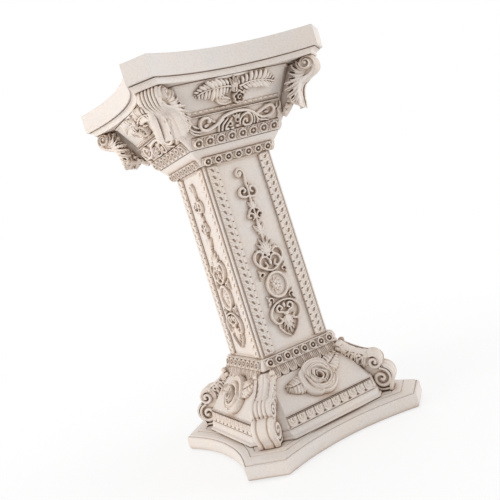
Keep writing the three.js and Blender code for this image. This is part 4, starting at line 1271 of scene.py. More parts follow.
@dataclass
class TongueCourse(Part):
    """The hanging row of fluted tongues under the collar."""

    count: int = 8
    rise: float = 1.9

    def tongue(self, pitch: float, height: float) -> Form:
        """One tongue with a raised rim and thin flutes in its panel."""
        relief = Relief((-0.5 * pitch, -1.0), (0.5 * pitch, height), 0.33, self.rise)
        half = 0.4 * pitch
        rim = arched((-half, height - 0.2), (-half, 0.6 * half), (-0.6 * half, -0.1 * half), (0, -0.4),
            steps=26)
        relief.sheet(rim, 0.5)
        relief.strand(rim, 1.2, 1, 0.95)
        for x in (-0.46, 0, 0.46):
            relief.strands(1.0, 0.9, [(x * half, height - 0.4), (x * half, 1.6 + abs(x) * 1.6)], tip=0.8)
        relief.strands(1.0, 0.7, [(-0.5 * pitch, height - 0.3), (-0.5 * pitch, 2.4)],
            [(0.5 * pitch, height - 0.3), (0.5 * pitch, 2.4)], tip=0.6)
        return relief.form(1.2)

    def build(self) -> None:
        """Makes the course."""
        course = self.column.tongues
        core = solid_through(course.low, course.high.raised(-BOND))
        tongue = self.tongue(2 * course.clear() / self.count, course.slope)
        row = self.shop.row_of(tongue, self.count, course.clear())
        self.shop.piece("tongue_course", joined([core, *(row.moved(course.face(side)) for side in Side)]),
            "tongue_ring")


@dataclass
class BaseFriezes(Part):
    """The strips of nested tongues between fillets, low on the base."""

    count: int = 10
    rise: float = 1.5

    def unit(self, pitch: float, height: float) -> Form:
        """One tongue within a tongue, with dark notches beside its foot and double fillets above."""
        relief = Relief((-0.5 * pitch, 0), (0.5 * pitch, height), 0.31, self.rise)
        half, head = 0.5 * pitch, height - 2.0
        relief.strip(pitch, 0.1, height - 0.1, 0.62, 0.3)
        for share, low in ((0.86, 0.75), (0.42, 2.4)):
            reach = share * half
            rim = arched((-reach, head), (-reach, low + 0.8 * reach), (-0.7 * reach, low + 0.1 * reach),
                (0, low), steps=24)
            relief.strand(rim, 0.85, 1.1 - 0.3 * share, 0.95)
        relief.carve(0.6, 0.3, [(-half, head), (-half, 3.0)], [(half, head), (half, 3.0)],
            [(0, head - 0.3), (0, 3.6)])
        for hand in (-1, 1):
            relief.cut((hand * half, 1.05), (0.95, 1.25), 0, 0.05)
        for foot, top, lift in ((-0.5, 0.5, 1.0), (head + 0.35, head + 1.0, 1.1),
                (height - 0.75, height - 0.1, 1.3)):
            relief.strip(pitch, foot, top, lift, 0.25)
        relief.carve(0.45, 0.2, [(-pitch, head + 0.1), (pitch, head + 0.1)],
            [(-pitch, head + 1.15), (pitch, head + 1.15)])
        return relief.form(0.4)

    def build(self) -> None:
        """Makes one strip for each side."""
        course = self.column.frieze
        half = course.clear() - 0.4
        unit = self.unit(2 * half / self.count, course.slope - 0.1)
        self.shop.on_sides("tongue_frieze", self.shop.row_of(unit, self.count, half), course, "base_frieze")


# ------------------------------------------------------------------------------ shaft
@dataclass
class Shaft(Part):
    """The square shaft with a bead at each corner and a sunk panel on each face."""

    bead: float = 2.0
    groove: float = 0.6
    depth: float = 0.9
    margin: float = 10.3

    def section(self, half: float, z: float, sunk: float) -> Array:
        """One level: for each side the panel, then the grooved bead at the corner."""
        panel = half - self.margin
        edge = half - self.bead - self.groove
        centre = half - self.bead / 2
        corner = [(panel, -half + sunk), (panel + 0.5, -half), (edge - self.groove, -half),
            (edge, -half + self.groove), (edge + 0.35, -half + self.groove)]
        for angle in np.radians(np.linspace(-150, 60, 8)):
            corner.append(
                (centre + 0.5 * self.bead * math.cos(angle), -centre + 0.5 * self.bead * math.sin(angle)))
        mirrored = [(-y, -x) for x, y in corner[:4]][::-1]
        points = []
        for side in Side:
            c, s = side.quarter
            for x, y in corner + mirrored:
                points.append((x * c - y * s, x * s + y * c, z))
        return np.array(points)

    def build(self) -> None:
        """Makes the shaft."""
        low, high = self.column.shaft.low, self.column.shaft.high
        levels = ((low.z, 0), (low.z + 1.4, 0), (low.z + 1.9, self.depth), (high.z - 1.9, self.depth),
            (high.z - 1.4, 0), (high.z, 0))
        loops = []
        for z, sunk in levels:
            t = (z - low.z) / (high.z - low.z)
            loops.append(self.section(low.half + (high.half - low.half) * t, z, sunk))
        self.shop.piece("shaft_casting", loft(loops), "shaft", plain=True, crease=30)


@dataclass
class LeafBorders(Part):
    """The strips down both edges of each panel: slanting leaves with drilled hollows, scalloped inside."""

    width: float = 9.2
    margin: float = 2.8
    pitch: float = 5.6
    rise: float = 1.35

    def unit(self) -> Form:
        """One repeat of the border, with its inner edge to the left."""
        edge, p = 0.5 * self.width, self.pitch
        relief = Relief((-edge - 0.8, 0), (edge, p), 0.34, self.rise)
        relief.sheet([(-edge + 0.3, -1), (edge, -1), (edge, p + 1), (-edge + 0.3, p + 1)], 0.9, 0.4)
        for notch in (-0.1, p - 0.1):
            relief.carve(1.0, 0.1,
                [(-edge - 0.3, notch), (-edge + 0.9, notch + 0.05), (-edge + 2.0, notch + 0.35)])
            relief.carve(0.45, 0.85, [(-2.2, notch + 0.7), (-1.2, notch + 2.2), (-1.7, notch + 4.2)])
            relief.carve(0.5, 0.8, [(2.4, notch + 1.0), (3.4, notch + 1.6), (edge + 0.2, notch + 2.8)],
                [(2.6, notch - 1.6), (3.5, notch - 1.0), (edge + 0.2, notch + 0.1)])
        relief.cut((0.9, 0.5 * p), (2.1, 0.95), 54, 0.0)
        return relief.form(0.6)

    def build(self) -> None:
        """Makes one strip for each edge of each face."""
        shaft = self.column.shaft
        length = shaft.slope - 3.2
        count = round(length / self.pitch)
        step = length / count
        unit = self.unit().moved(Matrix.Scale(step / self.pitch, 4, (0, 1, 0)))
        strip = self.shop.row.grow(Unit=unit, Count=count, Start=(0, 0, 0), Step=(0, MM * step, 0))
        lean = math.atan2(shaft.low.half - shaft.high.half, shaft.slope)
        middle = shaft.low.half - self.margin - self.width / 2
        for side in Side:
            for hand in Hand:
                turn = Matrix.Rotation(hand.value * lean, 4, "Z")
                mirror = Matrix.Scale(float(hand.value), 4, (1, 0, 0))
                place = shaft.face(side) @ Matrix.Translation((hand.value * middle, 1.6, 0)) @ turn @ mirror
                name = f"{side.word}_{hand.word}"
                self.shop.piece(f"leaf_strip_{name}", strip.moved(place), f"leaf_border_{name}")


@dataclass
class Candelabra(Part):
    """The hanging ornament in each panel: scrolls, leaves, and an oval medallion with a floral sprig."""

    rise: float = 3.1
    sunk: float = 0.9
    medallion: tuple[float, float] = (8.7, 9.7)
    centre: float = 50.2

    def medal(self, relief: Relief) -> None:
        """The dished medallion with its rim, the sprig in it, and the curls beside it."""
        y = self.centre
        relief.boss((0, y), self.medallion, 0.34, 0.1 * self.rise)
        relief.ring((0, y), self.medallion, 2.2, 1)
        bloom = (-1.2, y + 0.8)
        for tip, width in (((-4.8, 5.6), 2.8), ((-1.2, 7.6), 2.6), ((3.0, 6.2), 2.6), ((-6.6, 1.6), 2.8),
                ((5.0, 2.0), 2.6), ((-5.6, -3.2), 2.8), ((3.6, -2.8), 2.6), ((-2.8, -7.0), 2.6),
                ((1.6, -6.6), 2.4)):
            relief.leaf(bloom, (tip[0], y + tip[1]), width, 0.78, lobes=2, notch=0.16)
        for turn in range(0, 360, 72):
            a = math.radians(turn + 18)
            centre = (bloom[0] + 1.9 * math.cos(a), bloom[1] + 1.9 * math.sin(a))
            relief.boss(centre, (1.35, 1.35), 0.95, 0.35)
        relief.cut(bloom, (0.7, 0.7), 0, 0.5 * self.rise)
        for hand in (-1, 1):
            for way in (-1, 1):
                curl = spiral((hand * 9.6, y + way * 10.4), (2.6, 0.9),
                    (90 - hand * way * 150, 90 + hand * way * 190), 24)
                relief.strand(curl, 1.6, 0.9)
                for root, tip, width, lift in (((10.2, 11.6), (12.6, 15.4), 2.2, 0.8),
                        ((10.6, 9.2), (12.4, 6.0), 1.9, 0.7)):
                    relief.leaf((hand * root[0], y + way * root[1]), (hand * tip[0], y + way * tip[1]),
                        width, lift, lobes=1)

    def upper(self, relief: Relief) -> None:
        """The heart of two strands over the medallion, with a palmette in its mouth."""
        relief.fan((0, 76), [(0, 91.5), (3.8, 89), (7.2, 85.4), (9.6, 80.6)], 3.2, 0.9, mirror=True)
        relief.strands(2.1, 1, [(0.4, 62), (4.5, 63.5), (9.2, 67), (12, 71.5), (12, 75.5), (9.4, 78.4),
            (5.8, 78.2), (4.4, 75.6), (6.2, 74.2)], [(0.8, 71), (2.5, 73.4), (6.5, 73.4), (9, 70.5),
            (8.4, 66.6), (5.4, 64.8), (3.2, 66.6), (4.4, 69.4)], mirror=True, tip=0.65)
        relief.boss((0, 68.4), (1.5, 2.6), 0.9)
        relief.boss((0, 74.6), (2.2, 1.5), 1)

    def lower(self, relief: Relief) -> None:
        """The strands under the medallion, and the palmette that hangs from them."""
        relief.fan((0, 25), [(0, 9.6), (3.0, 12.0), (5.6, 15.2), (7.6, 19.4)], 2.7, 0.85, mirror=True)
        relief.strands(2.1, 1, [(0.2, 37.5), (5.5, 36.5), (9, 34.5), (12, 31), (13, 27.5),
            (12, 24), (9.5, 21), (7, 20.7), (5, 22.4), (6.4, 24.6)], [(1.0, 26.6), (3.0, 28.4), (6.4, 29.6),
            (7.0, 32.6), (4.4, 34), (2.4, 31.6), (4.2, 30.4)], mirror=True, tip=0.65)
        relief.strands(1.5, 0.9, [(8.6, 20.4), (8.4, 16.8), (5.2, 12), (0.6, 8.2)], mirror=True)
        relief.boss((0, 33.4), (1.5, 2.4), 0.9)
        relief.boss((0, 26.6), (2.3, 1.7), 1)

    def stem(self, relief: Relief) -> None:
        """The stem with its buds and curls, up to the hooked ball."""
        relief.strands(2.0, 0.85, [(0, 88), (0, 100), (0, 112)],
            [(0, 112), (0, 118), (0.3, 126), (0.2, 134)], tip=0.9)
        relief.fan((0, 93), [(0, 103.5), (4.6, 100)], 3.6, 1, mirror=True)
        relief.boss((0, 92.4), (2.4, 1.6), 1)
        for hand in (-1, 1):
            relief.strand(spiral((hand * 4.2, 106.6), (3.4, 1.0), (90 + hand * 150, 90 - hand * 190), 28),
                1.8, 1, 0.7)
        relief.strands(1.7, 1, [(0, 112.6), (2.6, 112.0), (4.6, 109.6)], mirror=True)
        relief.fan((0, 112), [(0, 121), (3.0, 118.4)], 3.2, 1, mirror=True)
        relief.strands(2.3, 1, [(-0.8, 122.4), (-3.8, 122.2), (-7.2, 124.2), (-6.8, 128.2), (-3.6, 129.4),
            (-2.2, 126.8), (-4.2, 125.8)], [(0.8, 121.8), (4.6, 121.6), (7.2, 124.4), (6.2, 128.4),
            (3.0, 129.2), (1.9, 126.4), (3.6, 124.9)], tip=0.7)
        relief.leaf((0.6, 127), (3.2, 133.2), 2.6, 0.9, lobes=1)
        relief.strands(2.1, 0.95, [(0.2, 132), (0.6, 137.6), (0.2, 142), (-2.6, 144.2), (-5.2, 142.2),
            (-4.6, 139.2), (-2.4, 139.2)], tip=0.8)
        relief.boss((-2.6, 141), (1.9, 1.9), 1.2)

    def build(self) -> None:
        """Makes one ornament for each face."""
        relief = Relief((-14.2, 6), (14.2, 147), rise=self.rise)
        for draw in (self.medal, self.upper, self.lower, self.stem):
            draw(relief)
        self.shop.on_sides("panel_ornament", relief.form(0.6), self.column.shaft, "shaft_ornament",
            -self.sunk)


# ------------------------------------------------------------------------------ capital
class CapitalCourses(Part):
    """The neck with its coin band, the plain fillet, and the flaring block of the capital."""

    def build(self) -> None:
        """Makes the castings and their coin bands."""
        c = self.column
        neck = solid_through(c.neck_coins.low.raised(BOND), c.neck_coins.high.raised(-0.5, 0.7),
            c.neck_coins.high, c.neck_fillet.high.raised(-BOND))
        self.shop.piece("neck_course", neck, "neck_ring", plain=True)
        rim = c.plumes.high
        block = solid_through(c.cap_coins.low, c.cap_coins.high.raised(-0.3, 0.6), c.scrolls.low,
            c.scrolls.high, c.cable.high, rim.raised(-2.2, 1.2), rim.raised(-1.9, 0.2), rim.raised(-BOND))
        self.shop.piece("capital_casting", block, "capital_block", plain=True)
        CoinBand(self.shop, c.neck_coins, "neck_coins", 7).build()
        CoinBand(self.shop, c.cap_coins, "capital_coins", 8, 1.8).build()


@dataclass
class CableMouldings(Part):
    """The moulding between the two friezes of the capital: a row of long beads over two fillets."""

    pitch: float = 4.7
    bead: tuple[float, float] = (1.95, 0.8)

    def build(self) -> None:
        """Makes one length for each side."""
        course = self.column.cable
        half = course.clear() - 0.5
        count = round(2 * half / self.pitch)
        pitch = 2 * half / count
        relief = Relief((-0.5 * pitch, 0), (0.5 * pitch, course.slope), 0.3)
        for foot, top, lift, soft in ((0.1, 1.2, 1.6, 0.5), (1.2, course.slope - 0.2, 0.5, 0.2),
                (1.9, 2.4, 1.1, 0.2)):
            relief.strip(pitch, foot, top, lift, soft)
        relief.boss((0, course.slope - 1.0), self.bead, 1.5)
        relief.boss((0.5 * pitch, course.slope - 1.0), (0.34, 0.6), 1.2)
        row = self.shop.row_of(relief.form(0.2), count, half)
        self.shop.on_sides("beaded_moulding", row, course, "cable_moulding")


@dataclass
class AcanthusFriezes(Part):
    """The running acanthus of the lower frieze: one wave with a scroll at each end and a fan beneath."""

    rise: float = 3.0

    def wave(self, relief: Relief) -> None:
        """The long strand from the left scroll over the arch to the right one."""
        relief.strands(2.7, 1, [(-21.7, 10.2), (-23, 12), (-26, 12.4), (-29, 11), (-30, 7.5), (-28.5, 4.5),
            (-25, 3.2), (-20, 4.5), (-15, 6.5), (-12.6, 8.7), (-8, 11), (0, 12.3), (7, 11.9), (13, 10),
            (18, 6.5), (22, 3.9)], [(19, 7.5), (24, 9.5), (28, 11), (31.5, 11), (33.5, 8.5), (33, 6),
            (30, 4), (26, 3.4), (22, 3.7)], tip=0.7)
        relief.boss((-22.4, 9.4), (1.7, 1.5), 1.1)
        relief.leaf((-22, 10.4), (-15.6, 7.2), 2.6, 0.9, lobes=2)
        relief.leaf((-26.6, 6.0), (-21.6, 7.6), 2.8, 0.75, lobes=2)
        relief.leaf((28.5, 6.6), (24.4, 6.8), 2.4, 0.8, lobes=2)
        relief.leaf((28, 10.4), (26.4, 12.8), 2.0, 0.8, lobes=1)
        relief.strands(1.7, 0.85, [(16.6, 6.2), (20, 2.4), (25, 1.1), (27.6, 0.3)])

    def fan(self, relief: Relief) -> None:
        """The ribs, rings and curl under the arch."""
        for start, top, end in (((-15.6, 0.6), (-14.6, 5.4), (-10.4, 8.4)),
                ((-12.6, 0.4), (-11.4, 4.6), (-7, 8.2)), ((-9.6, 0.4), (-8.4, 3.4), (-3.4, 8.0))):
            relief.strands(1.9, 0.9, [start, top, end], tip=0.7)
        relief.strand(spiral((-5.6, 3.9), (2.3, 1.0), (200, -140), 24), 1.5, 1, 0.7)
        for x, y, width in ((-8, 0.6, 1.8), (-4, 0.5, 1.7), (0.4, 1.6, 1.6)):
            relief.boss((x, y), (width, 1.2), 0.85)
        relief.ring((1, 6), (1.7, 1.7), 1.2, 1)
        relief.fan((1.2, 7), [(1.2, 11.4), (-2.6, 10.6), (4.6, 10.6)], 2.3, 0.85)
        relief.strands(2.0, 1, [(2.6, 2.6), (3.5, 6), (6.6, 8.6), (10.2, 9.2), (12.7, 7.4), (13.3, 3.8),
            (11.8, 0.9), (8, 0.3), (5.4, 2.2), (6.6, 5.2), (9, 5)], tip=0.7)
        relief.boss((8.6, 3.6), (1.3, 1.3), 1.05)
        relief.strands(1.7, 0.85, [(14.6, 7.8), (15.7, 4), (14.8, 0.6)], [(17.4, 5.6), (18.4, 3), (18, 0.5)],
            tip=0.7)

    def ends(self, relief: Relief) -> None:
        """The leaf strands at the left end and the bracketed outline at the right one."""
        relief.strands(1.7, 0.8, [(-39.6, 10.4), (-37.6, 6.4), (-33, 3.6), (-28, 3.4)],
            [(-38.6, 5.4), (-35.4, 2.6), (-31, 1.0)], [(-36.6, 11.2), (-34.8, 8), (-31.2, 6)], [(39.6, 11.8),
            (39.4, 8.6), (37.2, 6.8), (37.8, 3.4), (36.4, 0.5)], [(36.8, 11.6), (36.2, 8.8), (34.6, 8.2)])

    def build(self) -> None:
        """Makes one frieze for each side."""
        course = self.column.scrolls
        relief = Relief((-40, 0), (40.4, course.slope), 0.34, self.rise)
        for draw in (self.wave, self.fan, self.ends):
            draw(relief)
        self.shop.on_sides("running_acanthus", relief.form(0.5), course, "acanthus_frieze")


@dataclass
class PlumeSprays(Part):
    """The two plumes of leaflets under the top slab, with a bud, a rolled leaf and a rosette."""

    leaflets: int = 11
    length: float = 8.0
    rise: float = 4.6

    def leaflet(self) -> Form:
        """One blunt leaflet that curls forward, creased down its middle and clear of the ground."""
        s = np.linspace(0, 1, 9)[:, None]
        t = np.linspace(-1, 1, 7)[None, :]
        half = 0.19 * self.length * np.sin(np.pi * np.clip(0.14 + 0.78 * s, 0, 1) ** 1.3) ** 0.5 + 0.05
        crest = self.rise * (0.6 + 0.4 * np.sin(np.pi * (0.05 + 0.75 * s)))
        up = crest * (1 - 0.16 * t ** 2) - 0.3 * np.exp(-(t / 0.2) ** 2) * (1 - s)
        top = np.stack([self.length * s + 0 * t, half * t + 0.2 * self.length * s ** 2, up], -1)
        return shell(top, top * np.array([1, 1, 0]) + np.array([0, 0, 0.3 * self.rise]))

    def heart(self, height: float) -> Form:
        """The bud, the rosette, the rolled leaf and the small leaves between the plumes."""
        relief = Relief((-17, 0), (15, height), 0.34, self.rise)
        relief.fan((0.4, 12), [(1, height - 0.6), (-2.6, height - 2), (4, height - 2.4)], 3.4, 1)
        relief.leaf((0, 9.4), (0.6, 16.5), 5.6, 1.1, lobes=2, notch=0.1)
        for turn in range(0, 360, 72):
            a = math.radians(turn + 20)
            centre = (3.6 + 2.4 * math.cos(a), 5 + 2.4 * math.sin(a))
            relief.strand(spiral(centre, (2.3, 1.9), (turn - 70, turn + 110), 14), 1.7, 1, 0.7)
        relief.strand(spiral((3.6, 5), (2.1, 0.7), (0, 380), 20), 1.3, 1.12)
        relief.sheet(curve((-3.6, 3), (-8, 1.6), (-12.6, 2.6), (-15.4, 6.4), (-14.2, 9.4), (-9.6, 8.4),
            (-5.4, 6.4), (-3.6, 3)), 0.62, 1.6)
        relief.strands(1.9, 0.95, [(-3.8, 2.6), (-8.6, 1.8), (-13.2, 3.4), (-15.2, 7), (-13, 9.6),
            (-9.8, 8.4), (-10.4, 6)], [(-4.6, 5), (-8, 6.4), (-11.4, 7.6)], tip=0.7)
        relief.leaf((8, 8.6), (13.4, 6.2), 2.6, 0.7, lobes=2)
        return relief.form(0.5)

    def build(self) -> None:
        """Makes one spray for each side."""
        course = self.column.plumes
        unit = self.leaflet()
        stems = (((-1, 13.4), (-6, 14.4), (-16, 14.6), (-25, 13.6), (-30, 11.8)),
            ((4.6, 12.4), (15, 14.4), (26, 13.4), (35, 10.8)))
        sprays = []
        for seed, knots in enumerate(stems):
            path = curve(*knots, steps=24)
            sprays.append(self.shop.spray.grow(line(path), Unit=unit, Count=self.leaflets, Spread=0.96,
                Seed=20 + seed))
            stem = np.column_stack([path, np.full(len(path), 0.6 * self.rise)])
            sprays.append(tube(stem, np.linspace(0.8, 0.5, len(path)), 8))
        self.shop.on_sides("plumes", joined([*sprays, self.heart(course.slope)]), course, "plume_spray")


# ------------------------------------------------------------------------------ roses
@dataclass
class Roses(Part):
    """The full-blown rose with two toothed leaves on each face of the die."""

    rise: float = 9.0
    cup: float = 0.42
    heart: tuple[float, float] = (-0.6, 16.2)

    def petals(self, relief: Relief) -> None:
        """Thick-lipped petals, each curled round the ones inside it, from the rim to the heart."""
        high, heart = self.rise, np.array(self.heart)
        relief.boss(self.heart, (13.6, 13.4), 0.3 * high)
        whorls = ((8.0, 0.5, [(-5.4, 29.0), (-12.4, 24.6), (-14.6, 15), (-11.6, 7.6), (-6.4, 3.4),
            (-1.4, 3.4)]), (7.6, 0.54, [(-4.8, 4.8), (2.6, 2.2), (9.6, 4.6), (14.2, 10.5), (14.4, 16.6)]),
            (9.0, 0.62, [(15.4, 13.6), (13.4, 23.4), (8.6, 29.6), (0.6, 31.2), (-6.6, 28.4), (-8.2, 22.6)]),
            (6.4, 0.74, [(-9.6, 21.0), (-8.4, 12.4), (-4.4, 6.2), (2.6, 4.8), (8.2, 8.2)]),
            (5.6, 0.78, [(3.6, 5.8), (9.8, 9.2), (12.4, 15.6), (9.4, 21.6)]),
            (6.2, 0.84, [(12.0, 16.0), (8.0, 23.8), (1.2, 26.2), (-6.0, 23.4), (-8.4, 17.0)]), (4.6, 0.9,
            [(-7.4, 19.0), (-4.8, 10.6), (4.6, 9.4)]), (4.4, 0.94, [(2.2, 8.2), (7.6, 13.8), (2.4, 21.6)]),
            (4.0, 0.97, [(4.8, 18.6), (-1.4, 22.6), (-5.6, 16.6)]))
        for width, share, knots in whorls:
            lip = curve(*knots)
            outward = (lip - heart) / np.linalg.norm(lip - heart, axis=1)[:, None]
            body = lip - 0.42 * width * outward
            run, reach = body[8] - body[0], heart - body[0]
            if run[0] * reach[1] - run[1] * reach[0] > 0:
                body = body[::-1]
            relief.strand(body, width, share * high, 0.5, cup=self.cup)
            relief.strand(lip - 0.12 * width * outward, 0.26 * width, share * high + 0.55, 0.35)
        relief.strands(1.7, 0.98 * high, [(-3.6, 18.6), (-3.4, 14.2), (-0.4, 11.8), (2.8, 13.8), (1.8, 17.6),
            (-0.8, 18.6), (-1.5, 15.8)], tip=0.7)

    def leaves(self, relief: Relief) -> None:
        """Two broad leaves with toothed edges and raised veins."""
        lift = 0.38 * self.rise
        for root, tip, width, bend in (((-9, 18), (-27.2, 17.6), 14.5, 0.05),
                ((9, 20), (27.0, 29.6), 14.5, -0.04)):
            relief.leaf(root, tip, width, lift, lobes=7, bend=bend, notch=0.14)
            a, b = np.array(root), np.array(tip)
            along = (b - a) / np.linalg.norm(b - a)
            across = np.array([-along[1], along[0]])
            for share in (0.3, 0.48, 0.66, 0.82):
                start, reach = a + share * (b - a), 0.36 * width * math.sin(math.pi * share ** 0.75) ** 0.8
                for hand in (-1, 1):
                    end = start + 2.6 * along + hand * reach * across
                    vein = np.array([start, 0.5 * (start + end) + 0.3 * hand * across, end])
                    relief.strand(vein, 0.9, 1.12 * lift)

    def build(self) -> None:
        """Makes one rose for each side."""
        relief = Relief((-29, 0.4), (31, 36), 0.36)
        self.leaves(relief)
        self.petals(relief)
        self.shop.on_sides("rose_bloom", relief.form(0.4), self.column.die, "rose", crease=60)


# ------------------------------------------------------------------------------ corner brackets
@dataclass
class Strap:
    """A strap that follows a bracket's front, with a moulded section and if asked a fingered edge.

    The fingers slant down from the strap's middle, as an acanthus leaf's do, from a share of its length on.
    """

    path: Array
    half_width: Array
    lift: Callable[[Array, Array], Array]
    thickness: float = 1.8
    fingers: int = 0
    fingers_from: float = -1
    notch: float = 0.3
    slant: float = 0.9
    vein: float = 1.0
    columns: int = 49

    def form(self) -> Form:
        """The strap as a closed sheet in the corner's frame: x out, y up, z across."""
        tangent = np.gradient(self.path, axis=0)
        tangent /= np.linalg.norm(tangent, axis=1)[:, None]
        out = np.stack([-tangent[:, 1], tangent[:, 0]], -1)
        if (out[:, 0] + 0.3 * out[:, 1]).mean() < 0:
            out = -out
        u = np.linspace(-1, 1, self.columns)[None, :]
        s = np.linspace(0, 1, len(self.path))[:, None]
        width = self.half_width[:, None] * np.ones_like(u)
        lift = self.lift(s, u) + 0 * width
        if self.fingers:
            finger = np.abs(np.sin(np.pi * (self.fingers * s - self.slant * np.abs(u)))) ** 0.6
            share = (1 - finger) * np.clip((s - self.fingers_from) / 0.08, 0, 1)
            width = width * (1 - self.notch * u ** 2 * share)
            lift = lift - self.vein * share * np.clip((np.abs(u) - 0.28) / 0.5, 0, 1)
        skins = []
        for level in (lift, lift - self.thickness):
            skins.append(np.stack([self.path[:, 0:1] + out[:, 0:1] * level,
                self.path[:, 1:2] + out[:, 1:2] * level, u * width], -1))
        return shell(*skins)


def block(outline: Array, half_width: float, soften: float = 0.5) -> Form:
    """A bracket's body: an outline in its plane, given a width, with softened edges."""
    count = len(outline)
    points = np.vstack([np.column_stack([outline, np.full(count, -half_width)]),
        np.column_stack([outline, np.full(count, half_width)])])
    i = np.arange(count)
    j = (i + 1) % count
    walls = np.stack([i, j, j + count, i + count], -1)
    return Form(points, [walls, i[None, ::-1], i[None] + count]).softened(soften)


def flanks(relief: Form, half_width: float) -> Form:
    """A relief drawn in a bracket's plane, set on both its sides."""
    sides = []
    for hand in Hand:
        mirror = Matrix.Scale(float(hand.value), 4, (0, 0, 1))
        sides.append(relief.moved(Matrix.Translation((0, 0, hand.value * half_width)) @ mirror))
    return joined(sides)


def reeds(count: int, rise: float) -> Callable[[Array, Array], Array]:
    """The section of a strap with rounded reeds side by side."""
    return lambda s, u: rise * np.abs(np.sin(0.5 * count * np.pi * (u + 1))) ** 0.6 - 0.7 * u ** 8


@dataclass
class Consoles(Part):
    """The scroll brackets of the base: a leaf, a fluted upper scroll, and a grooved strap with a volute."""

    half_width: float = 8.4
    side_rise: float = 2.3
    upper: tuple[float, float] = (72.2, 40.4)
    upper_radius: float = 7.1
    lower: tuple[float, float] = (77.6, 27.8)
    lower_radius: float = 8.8

    def outline(self) -> Array:
        """The front from the collar down to the foot."""
        spine = curve((50.8, 60.6), (55.0, 56.0), (60.4, 51.8), (65.4, 49.2), (70.4, 47.5), steps=24)
        foot = self.column.step.z + 0.15
        return np.vstack([spine, arc(self.upper, self.upper_radius, 86, -22, 18), [(79.3, 36.4)],
            arc(self.lower, self.lower_radius, 72, -44, 18), [(82.6, 19.5), (81.8, foot)]])

    def front(self) -> Form:
        """The smooth leaf, the flutes and the grooved strap that lie over the front."""
        path, w = self.outline(), self.half_width
        def leaf_back(s: Array, u: Array) -> Array:
            """A rounded back with a groove down its middle."""
            return 1.0 - 1.7 * u ** 2 - 0.5 * np.exp(-(u / 0.08) ** 2)
        def grooved(s: Array, u: Array) -> Array:
            """A flat strap with two grooves."""
            return 0.9 - 1.1 * np.exp(-((np.abs(u) - 0.5) / 0.07) ** 2) - 0.8 * u ** 10
        spread = np.interp(np.linspace(0, 1, 26), (0, 0.3, 0.8, 1), (4.4, 7.6, 9.0, 8.4))
        leaf = Strap(path[:26], spread, leaf_back, 1.9, fingers=5, notch=0.34)
        flutes = Strap(path[23:43], np.full(20, 0.94 * w), reeds(5, 1.1), 1.6)
        strap = Strap(path[42:], np.full(len(path) - 42, w), grooved, 1.6)
        step = tube(np.array([(79.9, 35.6, z) for z in (-w, 0, w)]), np.full(3, 0.9), 8)
        return joined([leaf.form(), flutes.form(), strap.form(), step])

    def side(self) -> Form:
        """The acanthus and the two scrolls on a side."""
        relief = Relief((46, 15.8), (88, 62), rise=self.side_rise)
        relief.sheet([(50, 59.4), (54, 56.6), (58.6, 53), (63, 50.4), (68, 48.2), (72, 47), (72, 42),
            (68, 37.6), (63.6, 39), (60, 41.6), (56.5, 44.6), (53.5, 47.6), (50.5, 52)], 0.3)
        relief.fan((54.6, 56.4), [(48.4, 54.4), (50.2, 49.6)], 4.2, 0.95)
        for root, tip, width in (((58.4, 53.6), (53.2, 45.0), 4.8), ((62.4, 51), (57.2, 41.0), 5.0),
                ((66, 49.2), (61.4, 37.4), 4.8), ((69.8, 47.6), (65.6, 36.0), 4.2)):
            relief.leaf(root, tip, width, 1, lobes=2, bend=-0.1, notch=0.16)
        relief.strands(2.0, 0.95, [(50, 59.6), (56, 55), (63, 50.6), (70.5, 47)], tip=0.8)
        relief.boss((51.0, 60.2), (2.5, 2.1), 1.2)
        relief.boss((49.2, 56.2), (2.2, 2.1), 1.1)
        for centre, radii, turn in (((59.6, 50.2), (2.3, 0.6), 28), ((64.6, 47.0), (2.7, 0.7), 30),
                ((56.0, 52.2), (1.8, 0.5), 30), ((54.6, 48.6), (1.7, 0.5), 62),
                ((59.0, 45.2), (2.2, 0.5), 64), ((63.4, 42.4), (2.4, 0.55), 66)):
            relief.cut(centre, radii, turn, 0.1)
        relief.strand(spiral((74.2, 39.9), (6.0, 1.4), (112, -380), 60), 2.9, 1.15, 0.7)
        relief.boss((75.2, 39.4), (1.5, 1.5), 1.3)
        relief.strand(spiral((76.6, 26.2), (7.9, 1.5), (84, -440), 70), 2.9, 1.15, 0.7)
        relief.boss((76.6, 25.6), (1.4, 1.4), 1.3)
        relief.strands(2.2, 1, [(70.6, 20.6), (74, 17.4), (81.2, 17.0)], tip=0.8)
        return relief.form(0.6)

    def build(self) -> None:
        """Makes one bracket for each corner."""
        column = self.column
        back = np.array([(60, column.step.z + 0.15), (50, column.die.low.z), (43, column.tongues.low.z),
            (42, 60.6)])
        core = block(np.vstack([back[::-1], self.outline()[::-1]])[::-1], self.half_width - self.side_rise)
        form = joined([core, self.front(), flanks(self.side(), self.half_width - self.side_rise)])
        self.shop.on_corners("scroll_console", form, "base_console")


